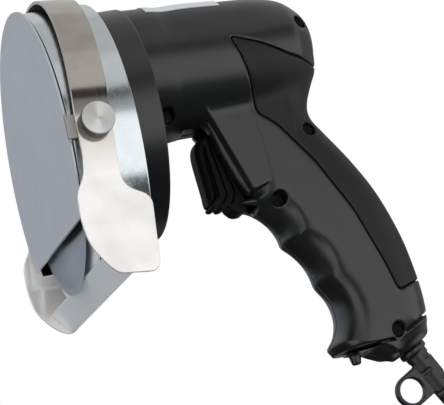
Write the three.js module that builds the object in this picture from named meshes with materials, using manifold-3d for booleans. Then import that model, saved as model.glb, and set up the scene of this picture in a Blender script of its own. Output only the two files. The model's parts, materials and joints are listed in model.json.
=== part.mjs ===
// Electric kebab slicer: a hand-held motor with a guarded round blade and a swinging slice guide.
// Millimetres. X runs rearward, Y away from the near side, Z up. Sizes are taken from the middle of
// the front plate's face, and the finished group is moved so that its origin is the middle of the grip.
import * as THREE from 'three';
import { mergeVertices } from 'three/addons/utils/BufferGeometryUtils.js';
import Module from 'manifold-3d';

const wasm = await Module();
wasm.setup();

// Clearances
const gap = 0.3;
const meshGap = 0.4;

// Front plate and guard drum
const plateRadius = 64;
const plateThickness = 1.5;
const chordDrop = 34;
const bandInset = 1.2;
const bandWall = 1.2;
const bandLength = 27.1;
const mouthDrop = 44;

// Blade and its shaft
const bladeRadius = 54.7;
const bladeThickness = 1.6;
const bladeSetback = 1.9;
const bevelWidth = 9.5;
const edgeThickness = 0.2;
const shaftRadius = 5;
const hubRadius = 15;
const hubThickness = 3;
const boltRadius = 2.9;
const boltHeadRadius = 9;
const boltHeadThickness = 1.1;
const boltLength = 12;

// Gear pair
const toothModule = 1;
const gearTeeth = 48;
const pinionTeeth = 12;
const gearWidth = 7;
const gearClearance = 2.2;
const tipRise = 0.7 * toothModule;
const rootDrop = 1.1 * toothModule;

// Gear case
const caseRadius = 48.8;
const caseRise = 10.3;
const caseLength = 13.9;
const caseFloor = 2.7;
const spigotLength = 5.4;
const drumScrewInset = 5;
const drumScrewLength = 8;

// Bearings and motor
const bearingWall = 5.4;
const bearingLength = 4.7;
const motorShaftRadius = 3;
const canRadius = 20;
const canWall = 1.8;
const canStart = 16.3;
const canLength = 46;
const magnetThickness = 2.9;
const airGap = 1.5;
const coreLength = 26;
const coreSlots = 12;
const fanBlades = 9;
const fanRadius = 16;
const fanLength = 5;
const commutatorRadius = 8;
const commutatorLength = 9;
const brushHeight = 7;

// Casing
const wall = 2.5;
const splitGap = 0.3;
const ribThickness = 2;
const bossRadius = 3.6;
const screwRadius = 1.5;
const screwHeadRadius = 2.7;
const screwHeadThickness = 2;
const recessDepth = 6;
const gripDepth = 49;
const labelThickness = 0.5;
const labelHalfWidth = 15;

// Trigger and switch
const triggerHalfWidth = 7.2;
const pinRadius = 1.5;
const switchLength = 18;
const switchHeight = 20;
const switchHalfWidth = 7.7;

// Slice guide
const guideTilt = 7;
const knobSetback = 10.9;
const knobDrop = 1.3;
const clipThickness = 1.6;
const clipHalfHeight = 4.7;
const clipTail = 5.5;
const knuckleRadius = 1;
const knucklePlace = 0.3;
const hingePinRadius = 0.55;
const hingePinProud = 1.2;
const strapThickness = 1.5;
const strapFront = 7;
const strapRear = 10;
const stripThickness = 1.2;
const stripWidth = 12.4;
const stripClearance = 0.6;
const stripLap = 3.2;
const stripSlope = -44.4;
const cornerCut = 10.4;
const knobRadius = 6.6;
const knobLength = 6;
const knobTeeth = 24;
const studRadius = 2.3;

// Cord boot
const bootRadius = 5.1;
const bootLength = 42;
const bootTipRadius = 4.2;
const collarRadius = 6.2;
const collarLength = 3;
const boreRadius = 3.5;
const bootAngle = 62;
const slotPitch = 5.4;
const slotWidth = 1.6;
const slotFloor = 3.2;
const slotCount = 6;
const loopHoleRadius = 4.7;
const loopOuterRadius = 6.9;
const loopThickness = 4;
const loopAlong = 13.9;
const loopWebWidth = 13.8;

// Places that follow from the sizes above
const bandRadius = plateRadius - bandInset;
const bandFront = plateThickness + meshGap;
const bandRear = bandFront + bandLength;
const bladeFront = plateThickness + bladeSetback;
const bladeRear = bladeFront + bladeThickness;
const caseFront = bandRear + gap;
const caseRear = caseFront + caseLength;
const gearFront = caseFront + gearClearance;
const gearRear = gearFront + gearWidth;
const motorHeight = toothModule * (gearTeeth + pinionTeeth) / 2;
const canInner = canRadius - canWall;
const magnetInner = canInner - gap - magnetThickness;
const coreRadius = magnetInner - airGap;
const canFront = caseRear + canStart;
const canRear = canFront + canLength;
const coreFront = canFront + 2.5;
const brushFront = coreFront + coreLength + 4.5;
const bearingRadius = motorShaftRadius + gap + bearingWall;
const clipInner = plateRadius + meshGap;
const legInner = clipInner + clipThickness + gap;
const legOuter = legInner + strapThickness;

// The casing is drawn for a grip 49 deep and the paddles for a blade of radius 54.7, and follow those sizes
const casingUnit = gripDepth / 49;
const paddleUnit = bladeRadius / 54.7;

// A spot on the casing's side view: behind the gear case, and above the motor's axis
function spot(behind, above) {
  return new THREE.Vector2(caseRear + behind * casingUnit, motorHeight + above * casingUnit);
}

const gripMiddle = spot(75, -90);
const triggerPivot = spot(33.3, -31);
const bootExit = spot(94.2, -134);
const screwSpots = [
  spot(9.8, -22), spot(76, 8.6), spot(69.2, -37.2), spot(49.2, -64), spot(85.6, -127),
];
const insertScrew = 2;
const switchFront = spot(43.8, -47);

// Barrel stations: distance behind the gear case, rise of the centre and radius
const barrelStations = [
  [0.3, 0, 29.1], [12, -0.3, 28.8], [18, -0.5, 28.1], [29, -0.5, 28], [47, -0.9, 27.2], [58, -0.6, 26.2],
  [66, 0, 24.2], [71.6, 0.4, 21.9], [76.4, 1.2, 17.8], [79.6, 1.8, 14], [81.6, 2.8, 9.8], [83, 4.5, 4],
];

// Handle: where the trigger sits, then the finger grooves between four ridges, then the foot
const trunkFront = [spot(22.8, -10), spot(26.8, -20), spot(29.8, -31), spot(33.3, -44), spot(35.8, -56)];
const trunkBack = [spot(81.4, -9), spot(78, -18), spot(74.4, -30), spot(79, -38.5), spot(84.6, -47.5)];
const gripRidges = [spot(35, -64.6), spot(50.2, -81.9), spot(59.9, -101.3), spot(59.7, -126.6)];
const grooveDepths = [3.6, 2.6, 5];
const grooveSteps = 4;
const gripBack = [
  spot(88, -53), spot(95, -67.7), spot(100.9, -87.4), spot(103.4, -104.7), spot(104, -116),
  spot(102.8, -127),
];
const footFront = [spot(61, -131), spot(63, -132.4)];
const footBack = [spot(99.8, -131.8), spot(97.3, -133.8)];
const trunkHalfWidth = 17 * casingUnit;
const gripHalfWidth = 18 * casingUnit;
const footHalfWidth = 16 * casingUnit;
const squareness = 2.5;
const handleSides = 20;
const barrelSides = 24;

// Rear insert's side outline, open to the back
const insertOutline = [
  spot(41, 4.6), spot(52.7, 0.3), spot(65.2, -6), spot(81, -10), spot(112, -10), spot(112, -107),
  spot(103.2, -107), spot(89.6, -111.4), spot(86.8, -99.7), spot(78.7, -74.5), spot(67.5, -51.5),
  spot(55.4, -33.7), spot(47.9, -27.2), spot(47.4, -20), spot(46.4, -13), spot(43.8, -3),
];

// Materials
function finish(color, roughness, metalness) {
  return new THREE.MeshStandardMaterial({ color, roughness, metalness });
}
const blackPlastic = finish(0x262726, 0.55, 0);
const softBlack = finish(0x2e2f2e, 0.75, 0);
const bootRubber = finish(0x1d1d1d, 0.7, 0);
const satinSteel = finish(0x9aa0a8, 0.35, 1);
const polishedSteel = finish(0xc4c8c9, 0.12, 1);
const brushedSteel = finish(0xb8b2aa, 0.3, 1);
const turnedSteel = finish(0xcdcfcd, 0.25, 1);
const darkSteel = finish(0x6d6f72, 0.45, 1);
const paleLabel = finish(0xb9b9b4, 0.4, 0.3);
const copperBrown = finish(0xa06a42, 0.45, 0.9);
const magnetGrey = finish(0x3a3a3c, 0.7, 0.2);

// Turn a closed geometry into a solid with its faces pointing out
function solidOf(geometry) {
  const bare = geometry.clone();
  bare.deleteAttribute('normal');
  bare.deleteAttribute('uv');
  const merged = mergeVertices(bare, 1e-4);
  const points = merged.attributes.position;
  const corners = [0, 1, 2].map(() => new THREE.Vector3());
  const triangles = [];
  let volume = 0;
  for (let i = 0; i < merged.index.count; i += 3) {
    const [a, b, c] = [0, 1, 2].map((k) => merged.index.getX(i + k));
    if (a === b || b === c || c === a) continue;
    [a, b, c].forEach((vertex, k) => corners[k].fromBufferAttribute(points, vertex));
    volume += corners[0].dot(corners[1].clone().cross(corners[2]));
    triangles.push([a, b, c]);
  }
  const facing = volume < 0 ? triangles.map(([a, b, c]) => [a, c, b]) : triangles;
  return new wasm.Manifold(new wasm.Mesh({
    numProp: 3,
    vertProperties: new Float32Array(points.array),
    triVerts: new Uint32Array(facing.flat()),
  }));
}

function geometryOf(solid) {
  const mesh = solid.getMesh();
  const geometry = new THREE.BufferGeometry();
  geometry.setAttribute('position', new THREE.BufferAttribute(mesh.vertProperties, 3));
  geometry.setIndex(new THREE.BufferAttribute(mesh.triVerts, 1));
  geometry.computeVertexNormals();
  return geometry;
}

function join(first, ...others) {
  return others.reduce((whole, other) => whole.add(other), first);
}

function cut(first, ...others) {
  return others.reduce((whole, other) => whole.subtract(other), first);
}

// Block between two corners
function block(low, high) {
  const size = high.map((value, k) => value - low[k]);
  const geometry = new THREE.BoxGeometry(...size);
  geometry.translate(...low.map((value, k) => value + size[k] / 2));
  return solidOf(geometry);
}

// Solid of revolution about a line along X; the profile lists places along X and radii
function turnX(profile, sides = 28, height = 0) {
  const points = profile.map(([x, radius]) => new THREE.Vector2(radius, x));
  const geometry = new THREE.LatheGeometry(points, sides);
  geometry.rotateZ(-Math.PI / 2);
  geometry.translate(0, 0, height);
  return solidOf(geometry);
}

function rodX(radius, from, to, sides = 24, height = 0) {
  return turnX([[from, 0], [from, radius], [to, radius], [to, 0]], sides, height);
}

function ringX(inner, outer, from, to, sides = 24, height = 0) {
  return turnX([[from, inner], [from, outer], [to, outer], [to, inner], [from, inner]], sides, height);
}

// Round rod along Y through a spot of the side view
function rodY(radius, from, to, place, sides = 16) {
  const geometry = new THREE.CylinderGeometry(radius, radius, to - from, sides);
  geometry.translate(place.x, (from + to) / 2, place.y);
  return solidOf(geometry);
}

// Upright round rod
function rodZ(radius, from, to, x, y, sides = 12) {
  const geometry = new THREE.CylinderGeometry(radius, radius, to - from, sides);
  geometry.rotateX(Math.PI / 2);
  geometry.translate(x, y, (from + to) / 2);
  return solidOf(geometry);
}

// Side outline (X, Z) carried along Y
function extrudeY(shape, from, to) {
  const depth = to - from;
  const geometry = new THREE.ExtrudeGeometry(shape, { depth, bevelEnabled: false, curveSegments: 8 });
  geometry.rotateX(Math.PI / 2);
  geometry.translate(0, to, 0);
  return solidOf(geometry);
}

// Front outline (Y, Z) carried along X
function extrudeX(shape, from, to) {
  const depth = to - from;
  const geometry = new THREE.ExtrudeGeometry(shape, { depth, bevelEnabled: false, curveSegments: 18 });
  const turn = new THREE.Matrix4().makeBasis(
    new THREE.Vector3(0, 1, 0), new THREE.Vector3(0, 0, 1), new THREE.Vector3(1, 0, 0));
  geometry.applyMatrix4(turn);
  geometry.translate(from, 0, 0);
  return solidOf(geometry);
}

// Closed skin over rings that all have the same number of points
function loft(rings) {
  const sides = rings[0].length;
  const points = rings.flat();
  const middle = (ring) => {
    return ring.reduce((sum, point) => sum.add(point), new THREE.Vector3()).divideScalar(sides);
  };
  points.push(middle(rings[0]), middle(rings[rings.length - 1]));
  const lastRing = (rings.length - 1) * sides;
  const triangles = [];
  for (let side = 0; side < sides; side += 1) {
    const next = (side + 1) % sides;
    triangles.push(points.length - 2, next, side);
    triangles.push(points.length - 1, lastRing + side, lastRing + next);
    for (let start = 0; start < lastRing; start += sides) {
      triangles.push(start + side, start + next, start + sides + side);
      triangles.push(start + next, start + sides + next, start + sides + side);
    }
  }
  const geometry = new THREE.BufferGeometry().setFromPoints(points);
  geometry.setIndex(triangles);
  return solidOf(geometry);
}

// The barrel, grown by an amount that may be negative, less its last stations and with a longer front
function barrel(grow, dropped = 0, lead = 0) {
  const kept = barrelStations.slice(0, barrelStations.length - dropped);
  return loft(kept.map(([behind, rise, radius], k) => {
    const centre = spot(k === 0 ? behind - lead : behind, rise);
    return Array.from({ length: barrelSides }, (_, k) => {
      const angle = 2 * Math.PI * k / barrelSides;
      const reach = radius * casingUnit + grow;
      return new THREE.Vector3(centre.x, reach * Math.cos(angle), centre.y + reach * Math.sin(angle));
    });
  }));
}

// Front and back spots of each handle station, with the half width there
function handleStations() {
  const stations = trunkFront.map((front, k) => [front, trunkBack[k], trunkHalfWidth]);
  const back = new THREE.SplineCurve(gripBack);
  const grooves = grooveDepths.length;
  for (let groove = 0; groove < grooves; groove += 1) {
    const [upper, lower] = [gripRidges[groove], gripRidges[groove + 1]];
    const along = lower.clone().sub(upper).normalize();
    const inward = new THREE.Vector2(-along.y, along.x);
    for (let step = groove === 0 ? 0 : 1; step <= grooveSteps; step += 1) {
      const share = step / grooveSteps;
      const depth = grooveDepths[groove] * casingUnit * 4 * share * (1 - share);
      const front = upper.clone().lerp(lower, share).addScaledVector(inward, depth);
      stations.push([front, back.getPoint((groove + share) / grooves), gripHalfWidth]);
    }
  }
  stations.push([footFront[0], footBack[0], gripHalfWidth]);
  stations.push([footFront[1], footBack[1], footHalfWidth]);
  return stations;
}

// The handle, grown by an amount that may be negative
function handle(grow, dropped = 0) {
  const stations = handleStations();
  return loft(stations.slice(0, stations.length - dropped).map(([front, back, halfWidth]) => {
    const centre = front.clone().add(back).divideScalar(2);
    const reach = back.clone().sub(front);
    const halfDepth = reach.length() / 2 + grow;
    reach.normalize();
    return Array.from({ length: handleSides }, (_, k) => {
      const angle = 2 * Math.PI * k / handleSides;
      const [c, s] = [Math.cos(angle), Math.sin(angle)];
      const across = Math.sign(c) * Math.abs(c) ** (2 / squareness) * halfDepth;
      const aside = Math.sign(s) * Math.abs(s) ** (2 / squareness) * (halfWidth + grow);
      return new THREE.Vector3(centre.x + reach.x * across, -aside, centre.y + reach.y * across);
    });
  }));
}

// A closed outline moved outward by a distance, corner by corner
function grownOutline(outline, distance) {
  return outline.map((point, k) => {
    const before = point.clone().sub(outline[(k + outline.length - 1) % outline.length]).normalize();
    const after = outline[(k + 1) % outline.length].clone().sub(point).normalize();
    const normal = new THREE.Vector2(-before.y - after.y, before.x + after.x).normalize();
    const spread = normal.dot(new THREE.Vector2(-before.y, before.x));
    return point.clone().addScaledVector(normal, distance / Math.max(spread, 0.5));
  });
}

// Toothed outline: roots and tips with straight flanks
function toothedShape(teeth, root, tip, centre, turned) {
  const pitch = 2 * Math.PI / teeth;
  const corners = [];
  const add = (radius, angle) => {
    corners.push(new THREE.Vector2(centre.x + radius * Math.sin(angle), centre.y + radius * Math.cos(angle)));
  };
  for (let tooth = 0; tooth < teeth; tooth += 1) {
    const middle = (tooth + turned) * pitch;
    add(root, middle - 0.24 * pitch);
    add(tip, middle - 0.11 * pitch);
    add(tip, middle + 0.11 * pitch);
    add(root, middle + 0.24 * pitch);
  }
  return new THREE.Shape(corners);
}

// Toothed wheel on a line along X, with a bore through it
function toothedWheel(shape, bore, from, to, height = 0) {
  return extrudeX(shape, from, to).subtract(rodX(bore, from - 1, to + 1, 32, height));
}

const slicer = new THREE.Group();
slicer.position.set(-gripMiddle.x, 0, -gripMiddle.y);

function addPart(name, solid, material, parent = slicer) {
  const mesh = new THREE.Mesh(geometryOf(solid), material);
  mesh.name = name;
  parent.add(mesh);
}

const sides = [['near', -1], ['far', 1]];
const wide = 200;

// Y range on one side, lowest value first
function sideRange(sign, inner, outer) {
  return sign < 0 ? [-outer, -inner] : [inner, outer];
}

function addFrontPlate() {
  const disc = rodX(plateRadius, 0, plateThickness, 96);
  const below = block([-1, -wide, -wide], [plateThickness + 1, wide, -chordDrop]);
  addPart('front_plate', disc.subtract(below), satinSteel);
}

// Places of the screws that hold the drum to the gear case, in Y and Z
const drumScrewCircle = caseRadius - drumScrewInset;
const drumScrews = [30, 150, 270].map((degrees) => {
  const angle = THREE.MathUtils.degToRad(degrees);
  return [drumScrewCircle * Math.cos(angle), caseRise + drumScrewCircle * Math.sin(angle)];
});
const outputBearingRadius = shaftRadius + gap + bearingWall;
const collarFront = bandRear - bearingLength - 2 * gap;

function addGuardDrum() {
  const cup = turnX([
    [bandFront, bandRadius - bandWall], [bandFront, bandRadius], [bandRear, bandRadius],
    [bandRear, outputBearingRadius + gap], [collarFront, outputBearingRadius + gap],
    [collarFront, outputBearingRadius + gap + 2], [bandRear - bandWall, outputBearingRadius + gap + 2],
    [bandRear - bandWall, bandRadius - bandWall], [bandFront, bandRadius - bandWall],
  ], 72);
  const mouth = block([bandFront - 1, -wide, -wide], [bandRear + 1, wide, -mouthDrop]);
  const stud = new THREE.Vector2(knobSetback, -knobDrop);
  const spacers = sides.map(([, sign]) => {
    return rodY(2 * studRadius, ...sideRange(sign, bandRadius - bandWall, clipInner - gap), stud);
  });
  const holes = drumScrews.map(([y, z]) => {
    return rodX(screwRadius + gap, 0, bandRear + 1, 12, z).translate([0, y, 0]);
  });
  const studHole = rodY(studRadius + gap, -wide, wide, stud);
  addPart('guard_drum', cut(join(cup.subtract(mouth), ...spacers), studHole, ...holes), polishedSteel);
}

function addDrumScrews() {
  drumScrews.forEach(([y, z], k) => {
    const seat = bandRear - bandWall - gap;
    const screw = turnX([
      [seat - screwHeadThickness, 0], [seat - screwHeadThickness, screwHeadRadius], [seat, screwHeadRadius],
      [seat, screwRadius], [caseFront + drumScrewLength, screwRadius], [caseFront + drumScrewLength, 0],
    ], 12, z).translate([0, y, 0]);
    addPart(`drum_screw_${k + 1}`, screw, darkSteel);
  });
}

function addBladeGroup() {
  const boreRim = shaftRadius + 1.3;
  addPart('blade', turnX([
    [bladeFront, boreRim], [bladeFront, bladeRadius], [bladeFront + edgeThickness, bladeRadius],
    [bladeRear, bladeRadius - bevelWidth], [bladeRear, boreRim], [bladeFront, boreRim],
  ], 72), turnedSteel);
  const hubFront = bladeRear + gap;
  const boltEnd = bladeFront + boltLength;
  addPart('blade_hub_shaft', turnX([
    [boltEnd + gap, 0], [boltEnd + gap, boltRadius + gap], [bladeFront, boltRadius + gap],
    [bladeFront, boreRim - gap], [hubFront, boreRim - gap], [hubFront, hubRadius],
    [hubFront + hubThickness, hubRadius], [hubFront + hubThickness, shaftRadius],
    [caseRear - caseFloor + 1.2, shaftRadius], [caseRear - caseFloor + 1.2, 0],
  ]), darkSteel);
  const headRear = bladeFront - gap;
  const headFront = headRear - boltHeadThickness;
  addPart('blade_bolt', turnX([
    [headFront, 0], [headFront, boltHeadRadius], [headRear, boltHeadRadius],
    [headRear, boltRadius], [boltEnd, boltRadius], [boltEnd, 0],
  ], 24), turnedSteel);
  const pitchRadius = toothModule * gearTeeth / 2;
  const gear = toothedShape(gearTeeth, pitchRadius - rootDrop, pitchRadius + tipRise, new THREE.Vector2(), 0);
  addPart('output_gear', toothedWheel(gear, shaftRadius + gap, gearFront, gearRear), darkSteel);
  addPart('output_bearing', ringX(shaftRadius + gap, outputBearingRadius, bandRear - gap - bearingLength,
    bandRear - gap), turnedSteel);
}

function addGearCase() {
  const rim = 1.5;
  const disc = turnX([
    [caseFront, 0], [caseFront, caseRadius], [caseRear - rim, caseRadius], [caseRear, caseRadius - rim],
    [caseRear, 0],
  ], 56, caseRise);
  const [, mouthRise, mouthRadius] = barrelStations[0];
  const spigotRadius = mouthRadius * casingUnit - wall - 2 * gap;
  const spigotHeight = spot(0, mouthRise).y;
  const spigot = rodX(spigotRadius, caseRear - 1, caseRear + spigotLength, barrelSides, spigotHeight);
  const tipReach = toothModule * (gearTeeth / 2 + 1) + 1.2;
  const pinionReach = toothModule * (pinionTeeth / 2 + 1) + 1.8;
  const gearPocket = rodX(tipReach, caseFront - 1, caseRear - caseFloor, 28);
  const pinionPocket = rodX(pinionReach, caseFront - 1, caseRear - caseFloor, 16, motorHeight);
  const shaftSeat = rodX(shaftRadius + gap, caseFront, caseRear - caseFloor + 1.5);
  const shaftHole = rodX(motorShaftRadius + 1, caseFront, caseRear + 2, 20, motorHeight);
  const bearingSeat = rodX(bearingRadius + gap, caseRear + 0.4, caseRear + spigotLength + 1, 24, motorHeight);
  const holes = drumScrews.map(([y, z]) => {
    const end = caseFront + drumScrewLength + gap;
    return rodX(screwRadius + gap, caseFront - 1, end, 12, z).translate([0, y, 0]);
  });
  const pockets = [gearPocket, pinionPocket, shaftSeat, shaftHole, bearingSeat];
  addPart('gear_case', cut(disc.add(spigot), ...pockets, ...holes), blackPlastic);
}

function addMotor() {
  const rearBearingFront = canRear + canWall + gap;
  const shaftEnd = rearBearingFront + bearingLength;
  const pitchRadius = toothModule * pinionTeeth / 2;
  const axis = new THREE.Vector2(0, motorHeight);
  const pinion = toothedShape(pinionTeeth, pitchRadius - rootDrop, pitchRadius + tipRise, axis, 0.5);
  const rod = rodX(motorShaftRadius, gearFront + 1, shaftEnd, 24, motorHeight);
  addPart('armature_shaft', rod.add(extrudeX(pinion, gearFront, gearRear)), darkSteel);

  const bore = motorShaftRadius + gap;
  [['front_bearing', caseRear + 0.7], ['rear_bearing', rearBearingFront]].forEach(([name, start]) => {
    addPart(name, ringX(bore, bearingRadius, start, start + bearingLength, 24, motorHeight), turnedSteel);
  });

  const fanFront = canFront - gap - fanLength;
  const fan = toothedShape(fanBlades, fanRadius * 0.45, fanRadius, axis, 0);
  addPart('cooling_fan', toothedWheel(fan, bore, fanFront, fanFront + fanLength, motorHeight), softBlack);
  const core = toothedShape(coreSlots, coreRadius - 3, coreRadius, axis, 0.5);
  const coreRear = coreFront + coreLength;
  addPart('armature_core', toothedWheel(core, bore, coreFront, coreRear, motorHeight), copperBrown);
  addPart('commutator', ringX(bore, commutatorRadius, brushFront - 1, brushFront - 1 + commutatorLength, 24,
    motorHeight), copperBrown);

  const seatRadius = bearingRadius + gap;
  addPart('field_can', turnX([
    [canFront, canInner], [canFront, canRadius], [canRear + canWall, canRadius],
    [canRear + canWall, seatRadius + 2], [shaftEnd, seatRadius + 2], [shaftEnd, seatRadius],
    [canRear + canWall, seatRadius], [canRear + canWall, bore + 1], [canRear, bore + 1], [canRear, canInner],
    [canFront, canInner],
  ], 32, motorHeight), darkSteel);

  sides.forEach(([name, sign]) => {
    const spread = THREE.MathUtils.degToRad(62);
    const middle = sign < 0 ? Math.PI : 0;
    const shape = new THREE.Shape();
    shape.absarc(0, motorHeight, canInner - gap, middle - spread, middle + spread, false);
    shape.absarc(0, motorHeight, magnetInner, middle + spread, middle - spread, true);
    addPart(`${name}_magnet`, extrudeX(shape, canFront + gap, coreRear), magnetGrey);
    const outer = Math.sqrt((canInner - gap) ** 2 - (brushHeight / 2) ** 2);
    const [low, high] = sideRange(sign, commutatorRadius + gap, outer);
    addPart(`${name}_brush`, block([brushFront, low, motorHeight - brushHeight / 2],
      [brushFront + commutatorLength - 2, high, motorHeight + brushHeight / 2]), magnetGrey);
  });
}

// Side outline of the trigger: pivot end at the top, finger curve in front, flat back
function triggerShape() {
  const shape = new THREE.Shape();
  const from = spot(29, -29.2);
  const heel = spot(21.2, -37.4);
  const toe = spot(22, -54.5);
  const tip = spot(28, -60.9);
  const crown = spot(22.2, -31);
  const curl = spot(22, -60.6);
  const bow = spot(21.4, -46);
  const backCorners = [spot(38.8, -59.5), spot(40.8, -42), spot(36.8, -29.2)];
  shape.moveTo(from.x, from.y);
  shape.quadraticCurveTo(crown.x, crown.y, heel.x, heel.y);
  shape.quadraticCurveTo(bow.x, bow.y, toe.x, toe.y);
  shape.quadraticCurveTo(curl.x, curl.y, tip.x, tip.y);
  backCorners.forEach((corner) => shape.lineTo(corner.x, corner.y));
  return shape;
}

function addTrigger() {
  const lever = extrudeY(triggerShape(), -triggerHalfWidth, triggerHalfWidth);
  addPart('trigger', lever.subtract(rodY(pinRadius + gap, -wide, wide, triggerPivot)), softBlack);
  const pinReach = triggerHalfWidth + 5;
  addPart('trigger_pin', rodY(pinRadius, -pinReach, pinReach, triggerPivot), darkSteel);
  addPart('switch_body', block(
    [switchFront.x, -switchHalfWidth, switchFront.y - switchHeight / 2],
    [switchFront.x + switchLength, switchHalfWidth, switchFront.y + switchHeight / 2]), bootRubber);
}

// Move a solid that is built along X onto the boot's axis
function ontoBootAxis(solid) {
  return solid.rotate([0, bootAngle, 0]).translate([bootExit.x, 0, bootExit.y]);
}

const flangeRear = -5.8;
const flangeFront = -3.4;

// Outer form of the whole casing, both halves and the insert together
function casingForm() {
  const footBoss = ontoBootAxis(turnX([[-16, 0], [-16, 10.6], [-1.5, 10.2], [0, 8.8], [0, 0]], 20));
  const lug = rodY(2.6, -5, 5, spot(69.6, -133.9));
  return join(barrel(0), handle(0), footBoss, lug);
}

// Walls, ribs and screw bosses of the casing before it is split
function casingWalls(form) {
  const hollow = join(barrel(-wall, 1, 2), handle(-wall, 2));
  const embedded = join(barrel(-wall / 2, 1), handle(-wall / 2, 1));
  const ribs = [8, 34].map((offset) => {
    const start = canFront + offset;
    return ringX(canRadius + gap, canRadius + 9, start, start + ribThickness, 32, motorHeight);
  });
  const bosses = screwSpots.map((place) => rodY(bossRadius, -wide, wide, place));
  const pinBosses = sides.map(([, sign]) => {
    return rodY(4, ...sideRange(sign, triggerHalfWidth + 2 * gap, wide), triggerPivot);
  });
  const switchRibs = sides.map(([, sign]) => {
    const [low, high] = sideRange(sign, switchHalfWidth + gap, wide);
    return block([switchFront.x + 7, low, switchFront.y - switchHeight / 2],
      [switchFront.x + 7 + ribThickness, high, switchFront.y + switchHeight / 2]);
  });
  const inside = join(...ribs, ...bosses, ...pinBosses, ...switchRibs).intersect(embedded);
  return form.subtract(hollow).add(inside);
}

// Room for the trigger, its pin, the screws and the boot
function casingOpenings() {
  const slotHalf = triggerHalfWidth + gap;
  const slotTop = spot(0, -27.4).y;
  const slotFoot = spot(0, -62.6).y;
  const slot = block([caseRear + 12, -slotHalf, slotFoot], [switchFront.x - 1, slotHalf, slotTop]);
  const pinReach = triggerHalfWidth + 5 + gap;
  const pinHole = rodY(pinRadius + gap, -pinReach, pinReach, triggerPivot);
  const bootBore = ontoBootAxis(rodX(bootRadius + gap, -14, 4, 20));
  const flangePocket = ontoBootAxis(rodX(collarRadius + gap, flangeRear - gap, flangeFront + gap, 20));
  const collarSeat = ontoBootAxis(rodX(collarRadius + gap, 0, 2 * collarLength, 20));
  return [slot, pinHole, bootBore, flangePocket, collarSeat];
}

// How far the casing reaches to the near side at a screw, from the middle plane
function sideReach(form, place) {
  return -form.intersect(rodY(0.5, -wide, wide, place, 8)).boundingBox().min[1];
}

function addCasing() {
  const form = casingForm();
  const seats = screwSpots.map((place) => sideReach(form, place) - recessDepth);
  const screwHoles = screwSpots.flatMap((place, k) => [
    rodY(screwRadius + gap, -wide, seats[k] - 1, place, 12),
    rodY(screwHeadRadius + gap, -wide, -seats[k] + gap, place, 14),
  ]);
  const walls = cut(casingWalls(form), ...casingOpenings(), ...screwHoles);
  const insertRoom = extrudeY(new THREE.Shape(insertOutline), -wide, wide);
  const shellCut = extrudeY(new THREE.Shape(grownOutline(insertOutline, gap)), -wide, wide);
  addPart('rear_insert', walls.intersect(insertRoom), softBlack);
  const shells = walls.subtract(shellCut);
  sides.forEach(([name, sign]) => {
    const [low, high] = sideRange(sign, splitGap / 2, wide);
    const half = block([-wide, low, -wide], [2 * wide, high, wide]);
    addPart(`${name}_shell`, shells.intersect(half), blackPlastic);
  });
  screwSpots.forEach((place, k) => {
    const head = rodY(screwHeadRadius, -seats[k] - screwHeadThickness, -seats[k], place, 12);
    const shank = rodY(screwRadius, -seats[k] - 1, seats[k] - 2, place, 12);
    addPart(k === insertScrew ? 'insert_screw' : `shell_screw_${k + 1}`, head.add(shank), darkSteel);
  });
}

function addLabelPlate() {
  const skin = barrel(gap + labelThickness).subtract(barrel(gap));
  const patch = block(
    [spot(13, 0).x, -labelHalfWidth, motorHeight],
    [spot(45, 0).x, labelHalfWidth, motorHeight + wide]);
  addPart('label_plate', skin.intersect(patch), paleLabel);
}

// Boot with a pair of facing slots at each step, a quarter turn on from the last pair, and a flat hanging
// loop beside it
function addBoot() {
  const slots = Array.from({ length: slotCount }, (_, k) => {
    const start = collarLength + 2.6 + k * slotPitch;
    const upper = block([start, -wide, slotFloor], [start + slotWidth, wide, wide]);
    const lower = block([start, -wide, -wide], [start + slotWidth, wide, -slotFloor]);
    return upper.add(lower).rotate([k % 2 === 0 ? 45 : -45, 0, 0]);
  });
  const skin = turnX([
    [flangeRear, boreRadius], [flangeRear, collarRadius], [flangeFront, collarRadius],
    [flangeFront, bootRadius],
    [gap, bootRadius], [gap, collarRadius], [collarLength, collarRadius], [collarLength + 0.6, bootRadius],
    [bootLength - 1, bootTipRadius], [bootLength, bootTipRadius - 0.6], [bootLength, boreRadius],
    [flangeRear, boreRadius],
  ], 20);
  const loopDrop = bootRadius + loopOuterRadius;
  const loopShape = new THREE.Shape().absarc(loopAlong, -loopDrop, loopOuterRadius, 0, 2 * Math.PI);
  const web = block(
    [loopAlong - loopWebWidth / 2, -loopThickness / 2, -loopDrop + 2],
    [loopAlong + loopWebWidth / 2, loopThickness / 2, -boreRadius - 0.5]);
  const loop = extrudeY(loopShape, -loopThickness / 2, loopThickness / 2).add(web);
  const hole = rodY(loopHoleRadius, -wide, wide, new THREE.Vector2(loopAlong, -loopDrop), 20);
  const solid = cut(skin, ...slots).add(loop).subtract(hole);
  addPart('cord_boot', ontoBootAxis(solid), bootRubber);
}

// Slice guide: drawn about the knobs' axis with the strap upright, then tilted rearward
const guide = new THREE.Group();
guide.position.set(knobSetback, 0, -knobDrop);
guide.rotation.y = THREE.MathUtils.degToRad(guideTilt);
slicer.add(guide);

function strapShape() {
  const shape = new THREE.Shape();
  shape.moveTo(-legOuter, -2);
  shape.lineTo(-legOuter, knobDrop);
  shape.absarc(0, knobDrop, legOuter, Math.PI, 0, true);
  shape.lineTo(legOuter, -2);
  shape.lineTo(legInner, -2);
  shape.lineTo(legInner, knobDrop);
  shape.absarc(0, knobDrop, legInner, 0, Math.PI, false);
  shape.lineTo(-legInner, -2);
  return shape;
}

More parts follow.
